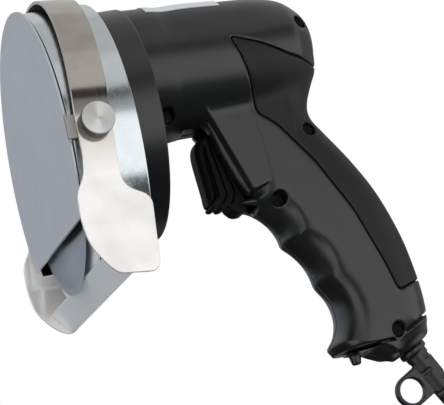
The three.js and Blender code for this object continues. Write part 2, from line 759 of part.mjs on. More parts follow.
// Side plate below the strap: a neck that widens to a paddle with a long curved front edge. The near one
// has a round rear corner and the far one a cut corner.
function paddleShape(cutOff) {
  const at = (along, up) => [along * paddleUnit, up * paddleUnit];
  const shape = new THREE.Shape();
  const foot = -59.6;
  const rear = 19.4;
  shape.moveTo(-strapFront, 3);
  shape.lineTo(...at(-5.6, -14));
  shape.quadraticCurveTo(...at(-5.8, -20.5), ...at(-8, -24.6));
  shape.quadraticCurveTo(...at(-10.3, -27.8), ...at(-10, -31));
  shape.quadraticCurveTo(...at(-9.7, -48), ...at(0.4, -57.1));
  shape.quadraticCurveTo(...at(3, foot), ...at(7, foot));
  if (cutOff) {
    shape.lineTo(...at(rear - cornerCut, foot));
    shape.lineTo(...at(rear, foot + cornerCut));
  } else {
    shape.lineTo(...at(rear - 3.6, foot));
    shape.quadraticCurveTo(...at(rear, foot), ...at(rear, foot + 3.6));
  }
  shape.lineTo(...at(rear - 0.4, -33));
  shape.quadraticCurveTo(...at(18.8, -30.4), ...at(16.5, -29.4));
  shape.lineTo(...at(10.5, -26.6));
  shape.quadraticCurveTo(...at(7.9, -25), ...at(7.7, -20.5));
  shape.lineTo(...at(7.8, -14));
  shape.lineTo(strapRear, 3);
  return shape;
}

// The strip's front edge stays clear behind the blade's bevel, lapping its rim, seen in the tilted guide
function stripShape() {
  const bevelThere = edgeThickness + (bladeThickness - edgeThickness) * stripLap / bevelWidth;
  const front = new THREE.Vector2(
    bladeFront + bevelThere + stripClearance - knobSetback, knobDrop - bladeRadius + stripLap);
  front.rotateAround(new THREE.Vector2(), THREE.MathUtils.degToRad(guideTilt));
  const slope = THREE.MathUtils.degToRad(stripSlope);
  const along = new THREE.Vector2(Math.cos(slope), Math.sin(slope)).multiplyScalar(stripWidth);
  const inward = new THREE.Vector2(-Math.sin(slope), Math.cos(slope)).multiplyScalar(stripThickness);
  const rear = front.clone().add(along);
  return new THREE.Shape([front, rear, rear.clone().add(inward), front.clone().add(inward)]);
}

function addGuide() {
  const strap = extrudeX(strapShape(), -strapFront, strapRear);
  const paddles = sides.map(([, sign]) => {
    return extrudeY(paddleShape(sign > 0), ...sideRange(sign, legInner, legOuter));
  });
  const studHole = rodY(studRadius + gap, -wide, wide, new THREE.Vector2(0, 0));
  addPart('guide_bracket', join(strap, ...paddles).subtract(studHole), brushedSteel, guide);
  addPart('guide_strip', extrudeY(stripShape(), gap - legInner, legInner - gap), brushedSteel, guide);
}

// Clips beside the front plate's rim, each rolled round an upright pin, and the knurled knobs that clamp the
// guide over them
function addClipsAndKnobs() {
  const stud = new THREE.Vector2(knobSetback, -knobDrop);
  const [clipFoot, clipTop] = [-clipHalfHeight - knobDrop, clipHalfHeight - knobDrop];
  sides.forEach(([name, sign]) => {
    const [low, high] = sideRange(sign, clipInner, clipInner + clipThickness);
    const plate = block([knucklePlace, low, clipFoot], [knobSetback + clipTail, high, clipTop]);
    const pinSide = sign * (clipInner + knuckleRadius);
    const knuckle = rodZ(knuckleRadius, clipFoot, clipTop, knucklePlace, pinSide);
    const [pinFoot, pinTop] = [clipFoot - hingePinProud, clipTop + hingePinProud];
    const pin = rodZ(hingePinRadius, pinFoot, pinTop, knucklePlace, pinSide);
    const clip = join(plate, knuckle, pin).subtract(rodY(studRadius + gap, -wide, wide, stud));
    addPart(`${name}_clip`, clip, brushedSteel);

    const headInner = legOuter + gap;
    const [headLow, headHigh] = sideRange(sign, headInner, headInner + knobLength);
    const [studLow, studHigh] = sideRange(sign, bandRadius - bandWall - 3, headInner + 1);
    const head = extrudeY(toothedShape(knobTeeth, knobRadius - 0.5, knobRadius, stud, 0), headLow, headHigh);
    addPart(`${name}_knob`, head.add(rodY(studRadius, studLow, studHigh, stud)), turnedSteel);
  });
}

addFrontPlate();
addGuardDrum();
addDrumScrews();
addBladeGroup();
addGearCase();
addMotor();
addTrigger();
addCasing();
addLabelPlate();
addBoot();
addGuide();
addClipsAndKnobs();

export default slicer;
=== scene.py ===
import json
import math
from contextlib import contextmanager

import bmesh
import bpy
import numpy as np
import openvdb
from mathutils import Matrix, Vector


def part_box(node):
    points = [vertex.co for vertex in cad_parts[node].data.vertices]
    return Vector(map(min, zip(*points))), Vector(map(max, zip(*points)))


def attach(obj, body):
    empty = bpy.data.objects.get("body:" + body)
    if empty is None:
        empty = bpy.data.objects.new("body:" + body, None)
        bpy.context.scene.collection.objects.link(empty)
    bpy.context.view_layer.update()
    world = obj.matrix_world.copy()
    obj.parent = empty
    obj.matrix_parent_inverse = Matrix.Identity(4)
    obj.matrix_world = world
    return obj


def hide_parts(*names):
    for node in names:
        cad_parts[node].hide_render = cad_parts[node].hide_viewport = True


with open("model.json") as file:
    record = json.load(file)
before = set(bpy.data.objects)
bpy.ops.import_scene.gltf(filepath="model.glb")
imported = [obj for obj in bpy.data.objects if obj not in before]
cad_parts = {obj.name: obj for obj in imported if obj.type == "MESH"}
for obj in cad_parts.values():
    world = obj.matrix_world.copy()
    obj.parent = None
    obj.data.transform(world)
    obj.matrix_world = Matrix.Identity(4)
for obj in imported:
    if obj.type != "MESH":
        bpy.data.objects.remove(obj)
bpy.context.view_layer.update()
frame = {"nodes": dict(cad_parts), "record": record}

# Shapes below are in millimetres from the middle of the front plate's face: X rearward, Y away from the
# near side, Z up. They are moved into the frame, in metres, when a mesh is made.
MM = 0.001
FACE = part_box("front_plate")
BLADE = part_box("blade")
HEAD = Vector((FACE[0].x, 0, (BLADE[0].z + BLADE[1].z) / 2))


def size_of(node):
    """Lowest and highest corner of a CAD node in millimetres from the front plate's middle."""
    low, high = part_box(node)
    return (low - HEAD) / MM, (high - HEAD) / MM


def middle_of(node):
    low, high = size_of(node)
    return (low + high) / 2


# Sizes taken from the frame, and the gap between the gear case and the shell halves
BAND_FRONT = size_of("guard_drum")[0].x
BAND_REAR = size_of("guard_drum")[1].x
BAND_RADIUS = size_of("guard_drum")[1].z
SHELL_GAP = 0.3
CASE_REAR = size_of("near_shell")[0].x - SHELL_GAP
MOTOR_HEIGHT = middle_of("armature_core").z
KNOB_AXIS = middle_of("near_knob")
KNOB_FACE = -size_of("near_knob")[0].y
KNOB_RADIUS = (size_of("near_knob")[1].z - size_of("near_knob")[0].z) / 2
LEG_OUTER = -size_of("guide_bracket")[0].y


def spot(behind, above):
    """A spot on the casing's side view: behind the gear case, and above the motor's axis."""
    return (CASE_REAR + behind, MOTOR_HEIGHT + above)


def spots(*places):
    return [spot(*place) for place in places]


# Meshes

EDGE_ANGLE = 35
CORNER_STEPS = 5
LONGEST_ROUNDING = 0.45


def add_object(name, data):
    piece = bpy.data.objects.new(name, data)
    bpy.context.scene.collection.objects.link(piece)
    return piece


def place_mesh(name, points, faces):
    """A smooth mesh of points in metres, linked into the scene."""
    mesh = bpy.data.meshes.new(name)
    mesh.from_pydata(points, [], faces)
    mesh.validate()
    mesh.polygons.foreach_set("use_smooth", [True] * len(mesh.polygons))
    mesh.update()
    return add_object(name, mesh)


def add_mesh(name, points, faces):
    """A smooth mesh of points in millimetres, moved into the frame."""
    placed = np.asarray(points, float) * MM + np.array(HEAD)
    return place_mesh(name, placed.tolist(), [list(face) for face in faces])


@contextmanager
def edited(piece):
    """Open a piece's mesh for editing, and write it back afterwards."""
    work = bmesh.new()
    work.from_mesh(piece.data)
    yield work
    work.to_mesh(piece.data)
    work.free()


def outward(piece):
    """Turn every face to the outside."""
    with edited(piece) as work:
        bmesh.ops.recalc_face_normals(work, faces=work.faces)
    return piece


def sharp_by_angle(piece, degrees=EDGE_ANGLE):
    """Shade the edges that bend by more than an angle as sharp."""
    with edited(piece) as work:
        for edge in work.edges:
            edge.smooth = edge.is_manifold and edge.calc_face_angle(math.pi) < math.radians(degrees)
    return piece


def merged(first, second):
    """Put two closed shapes of one piece into one mesh."""
    with edited(first) as work:
        work.from_mesh(second.data)
    bpy.data.objects.remove(second)
    return first


def settle(piece):
    """Apply the piece's modifiers to its mesh."""
    graph = bpy.context.evaluated_depsgraph_get()
    mesh = bpy.data.meshes.new_from_object(
        piece.evaluated_get(graph), preserve_all_data_layers=True, depsgraph=graph)
    piece.modifiers.clear()
    piece.data = mesh
    return piece


def flat_shaded(piece):
    """Let the broad faces set the shading, so that flats stay flat beside their rounded edges."""
    even = piece.modifiers.new("normals", "WEIGHTED_NORMAL")
    even.weight = 100
    even.keep_sharp = True
    return settle(piece)


def bevelled(piece, width):
    """Round the piece's edges over a width."""
    bevel = piece.modifiers.new("edges", "BEVEL")
    bevel.width = width * MM
    bevel.segments = 2
    bevel.limit_method = "ANGLE"
    bevel.angle_limit = math.radians(EDGE_ANGLE)
    return flat_shaded(piece)


def thickened(piece, thickness):
    """Give a sheet its thickness, half on each side."""
    sheet = piece.modifiers.new("sheet", "SOLIDIFY")
    sheet.thickness = thickness * MM
    sheet.offset = 0
    return settle(piece)


def smooth_line(knots, steps=6, closed=False):
    """Points on a Catmull-Rom curve through the knots."""
    knots = np.asarray(knots, float)
    count = len(knots)
    spans = count if closed else count - 1
    line = []
    for k in range(spans):
        around = [i % count if closed else min(max(i, 0), count - 1) for i in range(k - 1, k + 3)]
        a, b, c, d = knots[around]
        for t in np.arange(steps) / steps:
            line.append(0.5 * (2 * b + (c - a) * t + (2 * a - 5 * b + 4 * c - d) * t**2
                               + (3 * b - a - 3 * c + d) * t**3))
    if not closed:
        line.append(knots[-1])
    return np.array(line)


def rounded(corners, radius, steps=CORNER_STEPS):
    """A closed outline with each corner rounded; radius is one value or one for each corner."""
    corners = np.asarray(corners, float)
    radii = np.broadcast_to(radius, len(corners))
    line = []
    for k, corner in enumerate(corners):
        before = corners[k - 1] - corner
        after = corners[(k + 1) % len(corners)] - corner
        shorter = min(np.linalg.norm(before), np.linalg.norm(after))
        reach = min(radii[k], LONGEST_ROUNDING * shorter)
        start = corner + before / np.linalg.norm(before) * reach
        end = corner + after / np.linalg.norm(after) * reach
        for t in np.linspace(0, 1, steps + 1):
            line.append((1 - t) ** 2 * start + 2 * t * (1 - t) * corner + t**2 * end)
    return np.array(line)


def inset(outline, distance):
    """The outline moved inward at each point, between the normals of its two sides."""
    after = np.roll(outline, -1, 0) - outline
    after /= np.linalg.norm(after, axis=1, keepdims=True)
    middle = after + np.roll(after, 1, 0)
    normal = np.stack([-middle[:, 1], middle[:, 0]], 1)
    normal /= np.linalg.norm(normal, axis=1, keepdims=True)
    u, v = outline.T
    area = np.sum(u * np.roll(v, -1) - v * np.roll(u, -1))
    return outline + normal * distance * np.sign(area)


def sheet_faces(rows, columns):
    """Faces between points that lie in rows, one row after the other."""
    faces = []
    for row in range(rows - 1):
        for k in range(row * columns, (row + 1) * columns - 1):
            faces.append((k, k + 1, k + columns + 1, k + columns))
    return faces


def ring_faces(count, rings):
    """Faces of a closed skin over rings of points, with a flat face at each end."""
    faces = [tuple(range(count)), tuple(range((rings - 1) * count, rings * count))]
    for ring in range(rings - 1):
        for k in range(count):
            a, b = ring * count + k, ring * count + (k + 1) % count
            faces.append((a, b, b + count, a + count))
    return faces


def prism(name, outline, low, high, edge, axis):
    """Outline carried along Y (axis 1, from X and Z) or Z (axis 2, from X and Y), with softened edges."""
    outline = np.asarray(outline, float)
    inner = inset(outline, edge)
    rings = [(inner, low), (outline, low + edge), (outline, high - edge), (inner, high)]
    points = np.concatenate([np.insert(ring, axis, place, axis=1) for ring, place in rings])
    return flat_shaded(outward(add_mesh(name, points, ring_faces(len(outline), len(rings)))))


def ring_profile(front, rear, bore, radius):
    """Corners of a flat ring's section, for turning."""
    return [(front, bore), (front, radius), (rear, radius), (rear, bore)]


def turned(name, profile, sides=256, height=0.0):
    """Closed profile of (x, radius) turned about a line along X."""
    x, radius = np.asarray(profile, float).T
    count = len(x)
    angles = np.arange(sides)[:, None] * 2 * math.pi / sides
    points = np.broadcast_arrays(x, radius * np.cos(angles), radius * np.sin(angles) + height)
    points = np.stack(points, -1).reshape(-1, 3)
    faces = []
    for a in range(sides):
        near, far = a * count, (a + 1) % sides * count
        for b in range(count):
            after = (b + 1) % count
            faces.append((near + b, far + b, far + after, near + after))
    return flat_shaded(outward(add_mesh(name, points, faces)))


# Fields: signed distance on a grid, negative inside

LEAST_SLOPE = 0.3
TINY = 1e-9
FINE_EDGE = 0.3
EDGE = 0.5
SOFT_EDGE = 0.6
ROUND_EDGE = 0.8


class Grid:
    """Points over a box from a low to a high spot of the side view, with a half width to each side."""

    def __init__(self, low, high, half_width, step):
        self.low = np.array((low[0], -half_width, low[1]), float)
        self.step = step
        top = np.array((high[0], half_width, high[1]), float)
        counts = np.ceil((top - self.low) / step).astype(int) + 1
        axes = [np.float32(start + step * np.arange(count)) for start, count in zip(self.low, counts)]
        self.x, self.y, self.z = np.ix_(*axes)

    def line_distance(self, line, closed=False):
        """Distance in the side view to a line of points, and which grid points a closed line holds."""
        px, pz = np.broadcast_arrays(self.x[:, 0, :], self.z[0])
        ax, az = np.asarray(line, np.float32).T
        bx, bz = np.roll(ax, -1), np.roll(az, -1)
        best = np.full(px.shape, np.inf, np.float32)
        inside = np.zeros(px.shape, bool)
        for k in range(len(ax) if closed else len(ax) - 1):
            ex, ez = bx[k] - ax[k], bz[k] - az[k]
            t = ((px - ax[k]) * ex + (pz - az[k]) * ez) / (ex * ex + ez * ez + TINY)
            t = np.clip(t, 0, 1)
            best = np.minimum(best, (px - ax[k] - t * ex) ** 2 + (pz - az[k] - t * ez) ** 2)
            if ez != 0:
                crosses = (az[k] > pz) != (bz[k] > pz)
                inside ^= crosses & (px < ax[k] + (pz - az[k]) * ex / ez)
        return np.sqrt(best)[:, None, :], inside[:, None, :]

    def side_distance(self, outline):
        """Signed distance in the side view to a closed outline, the same at every Y."""
        distance, inside = self.line_distance(outline, closed=True)
        return np.where(inside, -distance, distance)

    def past_line(self, start, end):
        """Signed distance in the side view to a straight line, positive on the left of start to end."""
        along = np.array(end) - np.array(start)
        along = along / np.linalg.norm(along)
        return (self.z - start[1]) * along[0] - (self.x - start[0]) * along[1]

    def evened(self, field):
        """The field divided by its slope, so that it measures distance near the surface."""
        slopes = np.gradient(field, self.step)
        steep = np.sqrt(sum(slope**2 for slope in slopes))
        return field / np.maximum(steep, LEAST_SLOPE)

    def rod(self, place, radius):
        """Signed distance to a rod along Y through a spot of the side view."""
        return np.hypot(self.x - place[0], self.z - place[1]) - radius

    def mesh(self, name, field):
        """Skin of the field's inside."""
        volume = openvdb.FloatGrid(1.0)
        volume.copyFromArray(np.ascontiguousarray(field, dtype=np.float32))
        points, quads = volume.convertToQuads(0.0)
        return outward(add_mesh(name, points * self.step + self.low, quads))


def soft_max(a, b, radius):
    """Intersection of two fields with its edge rounded."""
    blend = np.maximum(radius - np.abs(a - b), 0) / radius
    return np.maximum(a, b) + blend * blend * radius / 4


def soft_min(a, b, radius):
    """Union of two fields with a fillet between them."""
    return -soft_max(-a, -b, radius)


# Materials

SMOOTHER = 0.75
ROUGHER = 1.3


class Look:
    """Makes and joins the nodes of a material or world."""

    def __init__(self, owner):
        owner.use_nodes = True
        self.owner = owner
        self.nodes = owner.node_tree.nodes
        self.links = owner.node_tree.links

    def join(self, socket, value):
        """Feed a socket from another node, or set it to a fixed value."""
        if isinstance(value, bpy.types.NodeSocket):
            self.links.new(value, socket)
        else:
            socket.default_value = value

    def node(self, kind, output, sockets=None, **settings):
        """An output of a new node, with its settings made and its sockets fed."""
        made = self.nodes.new("ShaderNode" + kind)
        for name, value in settings.items():
            setattr(made, name, value)
        for socket, value in (sockets or {}).items():
            self.join(made.inputs[socket], value)
        return made.outputs[output]

    def surface(self, sockets, shader="Principled BSDF"):
        """Feed the sockets of the shader, and hand back the material or world."""
        for socket, value in sockets.items():
            self.join(self.nodes[shader].inputs[socket], value)
        return self.owner

    def place(self, stretch=(1, 1, 1), shift=(0, 0, 0)):
        """Object coordinates, stretched to give grain a direction."""
        place = self.node("TexCoord", "Object")
        return self.node("Mapping", "Vector", {"Vector": place, "Scale": stretch, "Location": shift})

    def along(self, axis):
        """One of the object coordinates."""
        return self.node("SeparateXYZ", axis, {"Vector": self.place()})

    def distance_from(self, centre, axis):
        """Distance from a line along X (axis 0) or Y (axis 1) through a centre."""
        flat = [1.0, 1.0, 1.0]
        flat[axis] = 0.0
        aside = self.place(flat, [-value * kept for value, kept in zip(centre, flat)])
        return self.node("VectorMath", "Value", {0: aside}, operation="LENGTH")

    def noise(self, vector, scale, detail):
        return self.node("TexNoise", "Fac", {"Vector": vector, "Scale": scale, "Detail": detail})

    def ramp(self, factor, low, high):
        """Colour that changes between two stops, each a position and a colour."""
        ramp = self.node("ValToRGB", "Color", {"Fac": factor})
        for element, (position, colour) in zip(ramp.node.color_ramp.elements, (low, high)):
            element.position = position
            element.color = (*colour, 1)
        return ramp

    def share(self, value, low, high):
        """How far a value is on the way from low to high, from 0 to 1."""
        return self.node("MapRange", "Result", {"Value": value, "From Min": low, "From Max": high})

    def spread(self, share, low, high):
        """Map a share from 0 to 1 onto a range."""
        return self.node("MapRange", "Result", {"Value": share, "To Min": low, "To Max": high})

    def larger(self, first, second):
        return self.node("Math", "Value", {0: first, 1: second}, operation="MAXIMUM")

    def mix(self, factor, first, second, blend="MIX"):
        colours = {"Factor": factor, "A": first, "B": second}
        return self.node("Mix", "Result", colours, data_type="RGBA", blend_type=blend)

    def bump(self, height, strength, depth):
        sockets = {"Height": height, "Strength": strength, "Distance": depth * MM}
        return self.node("Bump", "Normal", sockets)


def new_look(name):
    return Look(bpy.data.materials.new(name))


def moulded_plastic(name, dark, light, roughness, grain, depth, gloss):
    """Plastic with a fine eroded grain, slight clouding, and paler edges that are partly wear and partly a
    painted highlight.
    """
    look = new_look(name)
    place = look.place()
    cloud = look.noise(place, scale=45, detail=4)
    # Paler colour on sharp edges: partly edge wear, partly a painted highlight where edges catch the light.
    edge = look.node("NewGeometry", "Pointiness")
    edge_wear_and_highlight = look.spread(look.share(edge, low=0.53, high=0.62), low=0, high=0.4)
    pale = (*[2.5 * value for value in light], 1)
    fine = look.noise(place, grain, detail=3)
    uneven = 0.07
    return look.surface({
        "Base Color": look.mix(edge_wear_and_highlight, look.ramp(cloud, (0.3, dark), (0.75, light)), pale),
        "Roughness": look.spread(fine, roughness - uneven, roughness + uneven),
        "Normal": look.bump(fine, 0.35, depth),
        "Specular IOR Level": gloss,
    })


def brushed_metal(name, colour, tint, roughness, stretch, depth, strength=0.25, metallic=1.0):
    """Metal with grain drawn out along one direction and a faint change of tone."""
    look = new_look(name)
    streak = look.noise(look.place(stretch), scale=1, detail=3)
    cloud = look.noise(look.place(), scale=30, detail=3)
    return look.surface({
        "Base Color": look.ramp(cloud, (0.25, colour), (0.8, tint)),
        "Roughness": look.spread(streak, SMOOTHER * roughness, ROUGHER * roughness),
        "Normal": look.bump(streak, strength, depth),
        "Metallic": metallic,
    })


def turned_metal(name, colour, roughness, centre, axis, pitch, strength):
    """Metal with fine rings about a line along X (axis 0) or Y (axis 1), and a fan-shaped sheen."""
    look = new_look(name)
    wave = {"W": look.distance_from(centre, axis), "Scale": 1 / (pitch * MM), "Detail": 3}
    rings = look.node("TexNoise", "Fac", wave, noise_dimensions="1D")
    cloud = look.noise(look.place(), scale=40, detail=3)
    shade = [0.88 * value for value in colour]
    return look.surface({
        "Base Color": look.ramp(cloud, (0.25, colour), (0.8, shade)),
        "Roughness": look.spread(rings, SMOOTHER * roughness, ROUGHER * roughness),
        "Normal": look.bump(rings, strength, depth=0.02),
        "Tangent": look.node("Tangent", "Tangent", direction_type="RADIAL", axis="XY"[axis]),
        "Anisotropic": 0.9,
        "Metallic": 1.0,
    })


def knob_metal():
    """Turned steel, bright on the face, with painted shade darkening the knurled side behind it."""
    centre = HEAD + Vector((KNOB_AXIS.x, 0, KNOB_AXIS.z)) * MM
    steel = turned_metal("turned_steel", (0.88, 0.88, 0.87), 0.42, centre, axis=1, pitch=0.45, strength=0.2)
    look = Look(steel)
    bright = look.nodes["Principled BSDF"].inputs["Base Color"].links[0].from_socket
    distance = look.node("Math", "Value", {0: look.along("Y")}, operation="ABSOLUTE")
    rim_back, rim_front = 0.8, 0.5
    face = look.share(distance, (KNOB_FACE - rim_back) * MM, (KNOB_FACE - rim_front) * MM)
    # Painted shade: the knurled side behind the face is coloured dark, as if in shade.
    return look.surface({"Base Color": look.mix(face, (0.3, 0.29, 0.28, 1), bright)})


def guide_metal():
    """Rolled sheet with painted shade: warmer and duller on the arch than on the paddles."""
    look = new_look("guide_steel")
    paddle_top = -22.0
    rise = look.share(look.along("Z"), HEAD.z + paddle_top * MM, HEAD.z)
    # Painted shade: the colour grows darker and warmer from the paddles up to the arch.
    tone = look.ramp(rise, (0.0, (0.9, 0.885, 0.87)), (1.0, (0.66, 0.61, 0.555)))
    cloud = look.noise(look.place(), scale=60, detail=4)
    shade = look.ramp(cloud, (0.34, (0.88, 0.87, 0.86)), (0.56, (1.0, 1.0, 1.0)))
    streak = look.noise(look.place((1800, 300, 60)), scale=1, detail=3)
    return look.surface({
        "Base Color": look.mix(1.0, tone, shade, "MULTIPLY"),
        "Roughness": look.spread(streak, 0.08, 0.17),
        "Normal": look.bump(streak, 0.12, 0.01),
        "Metallic": look.spread(rise, 0.55, 1.0),
    })


def drum_metal():
    """Bright plated sheet with fine speckle outside, and painted shade making it dark inside the drum."""
    look = new_look("drum_steel")
    inner, outer = 0.9, 0.5
    # Masks of the outer band and the rear face; every other face is inside the drum and gets a painted
    # shade colour.
    skin = look.share(look.distance_from(HEAD, 0), (BAND_RADIUS - inner) * MM, (BAND_RADIUS - outer) * MM)
    rear = HEAD.x + BAND_REAR * MM
    back = look.share(look.along("X"), rear - inner * MM, rear - outer * MM)
    place = look.place()
    speckle = look.noise(place, scale=1400, detail=2)
    spangle = look.noise(place, scale=160, detail=3)
    plated = look.ramp(spangle, (0.3, (0.8, 0.86, 0.89)), (0.7, (0.87, 0.93, 0.96)))
    return look.surface({
        "Base Color": look.mix(look.larger(skin, back), (0.12, 0.125, 0.135, 1), plated),
        "Roughness": look.spread(speckle, 0.08, 0.3),
        "Normal": look.bump(speckle, 0.2, 0.01),
        "Metallic": 1.0,
    })


CASING = moulded_plastic(
    "casing_plastic", (0.005, 0.0054, 0.0052), (0.008, 0.0086, 0.0083),
    roughness=0.3, grain=2600, depth=0.04, gloss=0.85)
SOFT = moulded_plastic(
    "soft_insert", (0.005, 0.0052, 0.005), (0.008, 0.0083, 0.008),
    roughness=0.46, grain=3200, depth=0.04, gloss=0.4)
RUBBER = moulded_plastic(
    "boot_rubber", (0.007, 0.007, 0.008), (0.011, 0.011, 0.012),
    roughness=0.34, grain=1800, depth=0.03, gloss=0.8)
SWITCH = moulded_plastic(
    "switch_plastic", (0.003, 0.003, 0.003), (0.005, 0.005, 0.005),
    roughness=0.5, grain=1500, depth=0.02, gloss=0.12)
FERRITE = moulded_plastic(
    "ferrite", (0.05, 0.05, 0.055), (0.08, 0.08, 0.085),
    roughness=0.6, grain=900, depth=0.06, gloss=0.5)
PLATE = brushed_metal(
    "plate_steel", (0.54, 0.56, 0.6), (0.58, 0.6, 0.64),
    roughness=0.36, stretch=(90, 90, 90), depth=0.02, strength=0.05, metallic=0.55)
BAND = drum_metal()
GUIDE = guide_metal()
STRIP = brushed_metal(
    "strip_steel", (0.78, 0.83, 0.87), (0.84, 0.89, 0.93),
    roughness=0.34, stretch=(900, 60, 900), depth=0.01, strength=0.1, metallic=0.3)
SHIELD = brushed_metal(
    "shield_steel", (0.74, 0.77, 0.82), (0.8, 0.83, 0.88),
    roughness=0.5, stretch=(900, 60, 900), depth=0.01, strength=0.1, metallic=0.15)
CLIP = brushed_metal(
    "clip_steel", (0.42, 0.4, 0.39), (0.5, 0.48, 0.46),
    roughness=0.38, stretch=(300, 300, 900), depth=0.02, strength=0.2)
DARK = brushed_metal(
    "dark_steel", (0.012, 0.012, 0.0125), (0.02, 0.02, 0.021),
    roughness=0.5, stretch=(700, 700, 700), depth=0.03)
FOIL = brushed_metal(
    "label_foil", (0.62, 0.65, 0.68), (0.68, 0.71, 0.74),
    roughness=0.38, stretch=(80, 1600, 1600), depth=0.01, metallic=0.2)
COPPER = brushed_metal(
    "winding_copper", (0.55, 0.28, 0.14), (0.62, 0.36, 0.2),
    roughness=0.4, stretch=(1500, 1500, 200), depth=0.04)
GROUND = turned_metal("blade_steel", (0.5, 0.53, 0.56), 0.32, HEAD, axis=0, pitch=0.4, strength=0.25)
KNURLED = knob_metal()


def finish(piece, body, slot, material, *replaced):
    piece.data.materials.clear()
    piece.data.materials.append(material)
    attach(piece, body)
    if replaced:
        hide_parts(*replaced)
    return piece


# Casing

BARREL = np.array([
    [0.3, 0, 29.1], [12, -0.3, 28.8], [18, -0.5, 28.1], [29, -0.5, 28], [47, -0.9, 27.2], [58, -0.6, 26.2],
    [66, 0, 24.2], [71.6, 0.4, 21.9], [76.4, 1.2, 17.8], [79.6, 1.8, 14], [81.6, 2.8, 9.8], [83, 4.5, 4],
])
BARREL_STEPS = 8
BARREL_FILLET = 3.0
MOUTH_DEPTH = 6.0
GRIP_FRONT = spots(
    (34, 4), (36, -20), (38, -42), (38.4, -58), (38.6, -63.4), (41, -66), (45.8, -71), (49.1, -77),
    (50.2, -82), (54.2, -86.5), (58.2, -92.8), (60.2, -101), (64.2, -109), (65.2, -116), (63.2, -122.5),
    (59.8, -126.6), (60.6, -130),
)
GRIP_FOOT = GRIP_FRONT[-1:] + spots((64, -132), (74.5, -132.6), (79, -134.8), (84, -137.2), (90, -136))
GRIP_BACK = GRIP_FOOT[-1:] + spots(
    (99, -131.6), (102.6, -126.5), (103.9, -117), (103.4, -104.7), (100.9, -87.4), (95, -67.7),
    (87, -51.5), (78.2, -37.4), (74.5, -31), (74.5, -25.3), (78.2, -16.6), (80.8, -9), (77, 4),
)
GRIP_HALF_WIDTH = 17.8
GRIP_FRONT_ROUNDING = 13.0
GRIP_BACK_ROUNDING = 21.0
FOOT_ROUNDING = 3.0
RIDGES = [GRIP_FRONT[k] for k in (5, 8, 11, 15)]
RIDGE_SETBACK = 6.0
GROOVE_DEPTHS = [1.8, 2.0, 5.4]
GROOVE_SIDE_DEPTH = 4.2
GROOVE_ROUNDING = 1.4
TRUNK = spots((23.6, -14), (38.4, -59.6), (48.5, -57), (64, -40), (64, -8), (40, 4), (24, -6))
TRUNK_CORNERS = [0.5, 1.5, 6, 6, 4, 4, 4]
TRUNK_HALF_WIDTH = 17.2
TRUNK_ROUNDING = 1.4
HOUSING = spots((25.8, -26.5), (27.4, -31), (29.6, -41), (33.2, -51.6), (37.4, -60), (48, -58), (42, -28))
HOUSING_CORNER = 1.5
HOUSING_HALF_WIDTH = 13.0
HOUSING_ROUNDING = 1.2
LIP = spots((35, -60), (33.6, -63.6), (35.2, -65.4), (40, -65.6), (47.5, -72), (49, -60))
LIP_HALF_WIDTH = 10.5
LIP_ROUNDING = 3.0
ROUND_POWER = 2.3
BLOCK_POWER = 3
OUTSIDE_SLOPE = 2
BOOT_EXIT = spot(94.2, -134)
BOOT_ANGLE = math.radians(62)
SOCKET_RADIUS = 5.5
SOCKET_DEPTH = 14.0
COLLAR_BOSS = 10.2
COLLAR_LENGTH = 16.0
COLLAR_TAPER = 0.05
COLLAR_ROUNDING = 1.6
COLLAR_FILLET = 2.0
PEG_TIP = spot(69.6, -136.6)
PEG_LENGTH = 8.0
PEG_TIP_RADIUS = 1.9
PEG_FLARE = 1.6
CAP_LINE = spots((58.4, -131.7), (84, -130.6))
COLLAR_LINE = spots((85, -130.3), (101.5, -122.2))
SEAM_WIDTH = 1.2
SEAM_DEPTH = 2.4
SEAM_RIB = 5.0
SCREWS = spots((9.8, -22), (76, 8.6), (69.2, -37.2), (49.2, -64), (85.6, -127))
RECESS_RADIUS = 3.0
RECESS_DEPTH = 6.0
RECESS_WALL = 1.2
TRIGGER_SLOT = spots((18, -27.4), (18, -67), (41.8, -67), (41.8, -62), (42.5, -62), (42.5, -27.4))
TRIGGER_SLOT_EDGE = 1.0
TRIGGER_HALF_WIDTH = 7.2
TRIGGER_GAP = 0.5
INSERT = spots(
    (41, 4.6), (52.7, 0.3), (65.2, -6), (74, -8.8), (81, -10), (112, -10), (112, -107), (103.2, -107),
    (89.6, -111.4), (86.8, -99.7), (78.7, -74.5), (67.5, -51.5), (55.4, -33.7), (47.9, -27.2),
    (47.4, -20), (46.4, -13), (43.8, -3),
)
INSERT_CORNER = 2.5
INSERT_GAP = 0.2
PANEL_EDGE = 0.9
HALVES_GAP = 0.1
LAP = 1.7
UNDER_SKIN = 0.5
CASING_WALL = 2.5
CASING_STEP = 0.5
CASING_LOW = (CASE_REAR - 2, -112)
CASING_HIGH = (CASE_REAR + 110, 64)
CASING_ROOM = 32


def bulge(distance, reach, power):
    """Share of the full width at a distance inside an edge that is rounded over a reach."""
    depth = np.clip(distance / reach, 0, 1)
    return (1 - (1 - depth) ** power) ** (1 / power)


def block_width(grid, outline, half_width, rounding, power):
    """Half width of a block over the side view: rounded in from its outline, and negative outside it."""
    edge = grid.side_distance(outline)
    return np.where(edge < 0, half_width * bulge(-edge, rounding, power), -OUTSIDE_SLOPE * edge)


def grip_width(grid):
    """Half width of the grip, rounded over a reach of its own at the front, the back and the foot."""
    front = smooth_line(GRIP_FRONT)
    foot = smooth_line(GRIP_FOOT, 4)
    back = smooth_line(GRIP_BACK)
    width = GRIP_HALF_WIDTH
    for line, rounding in ((front, GRIP_FRONT_ROUNDING), (back, GRIP_BACK_ROUNDING), (foot, FOOT_ROUNDING)):
        width = width * bulge(grid.line_distance(line)[0], rounding, ROUND_POWER)
    edge = grid.side_distance(np.concatenate([front, foot[1:], back[1:]]))
    return np.where(edge < 0, width, -OUTSIDE_SLOPE * edge)


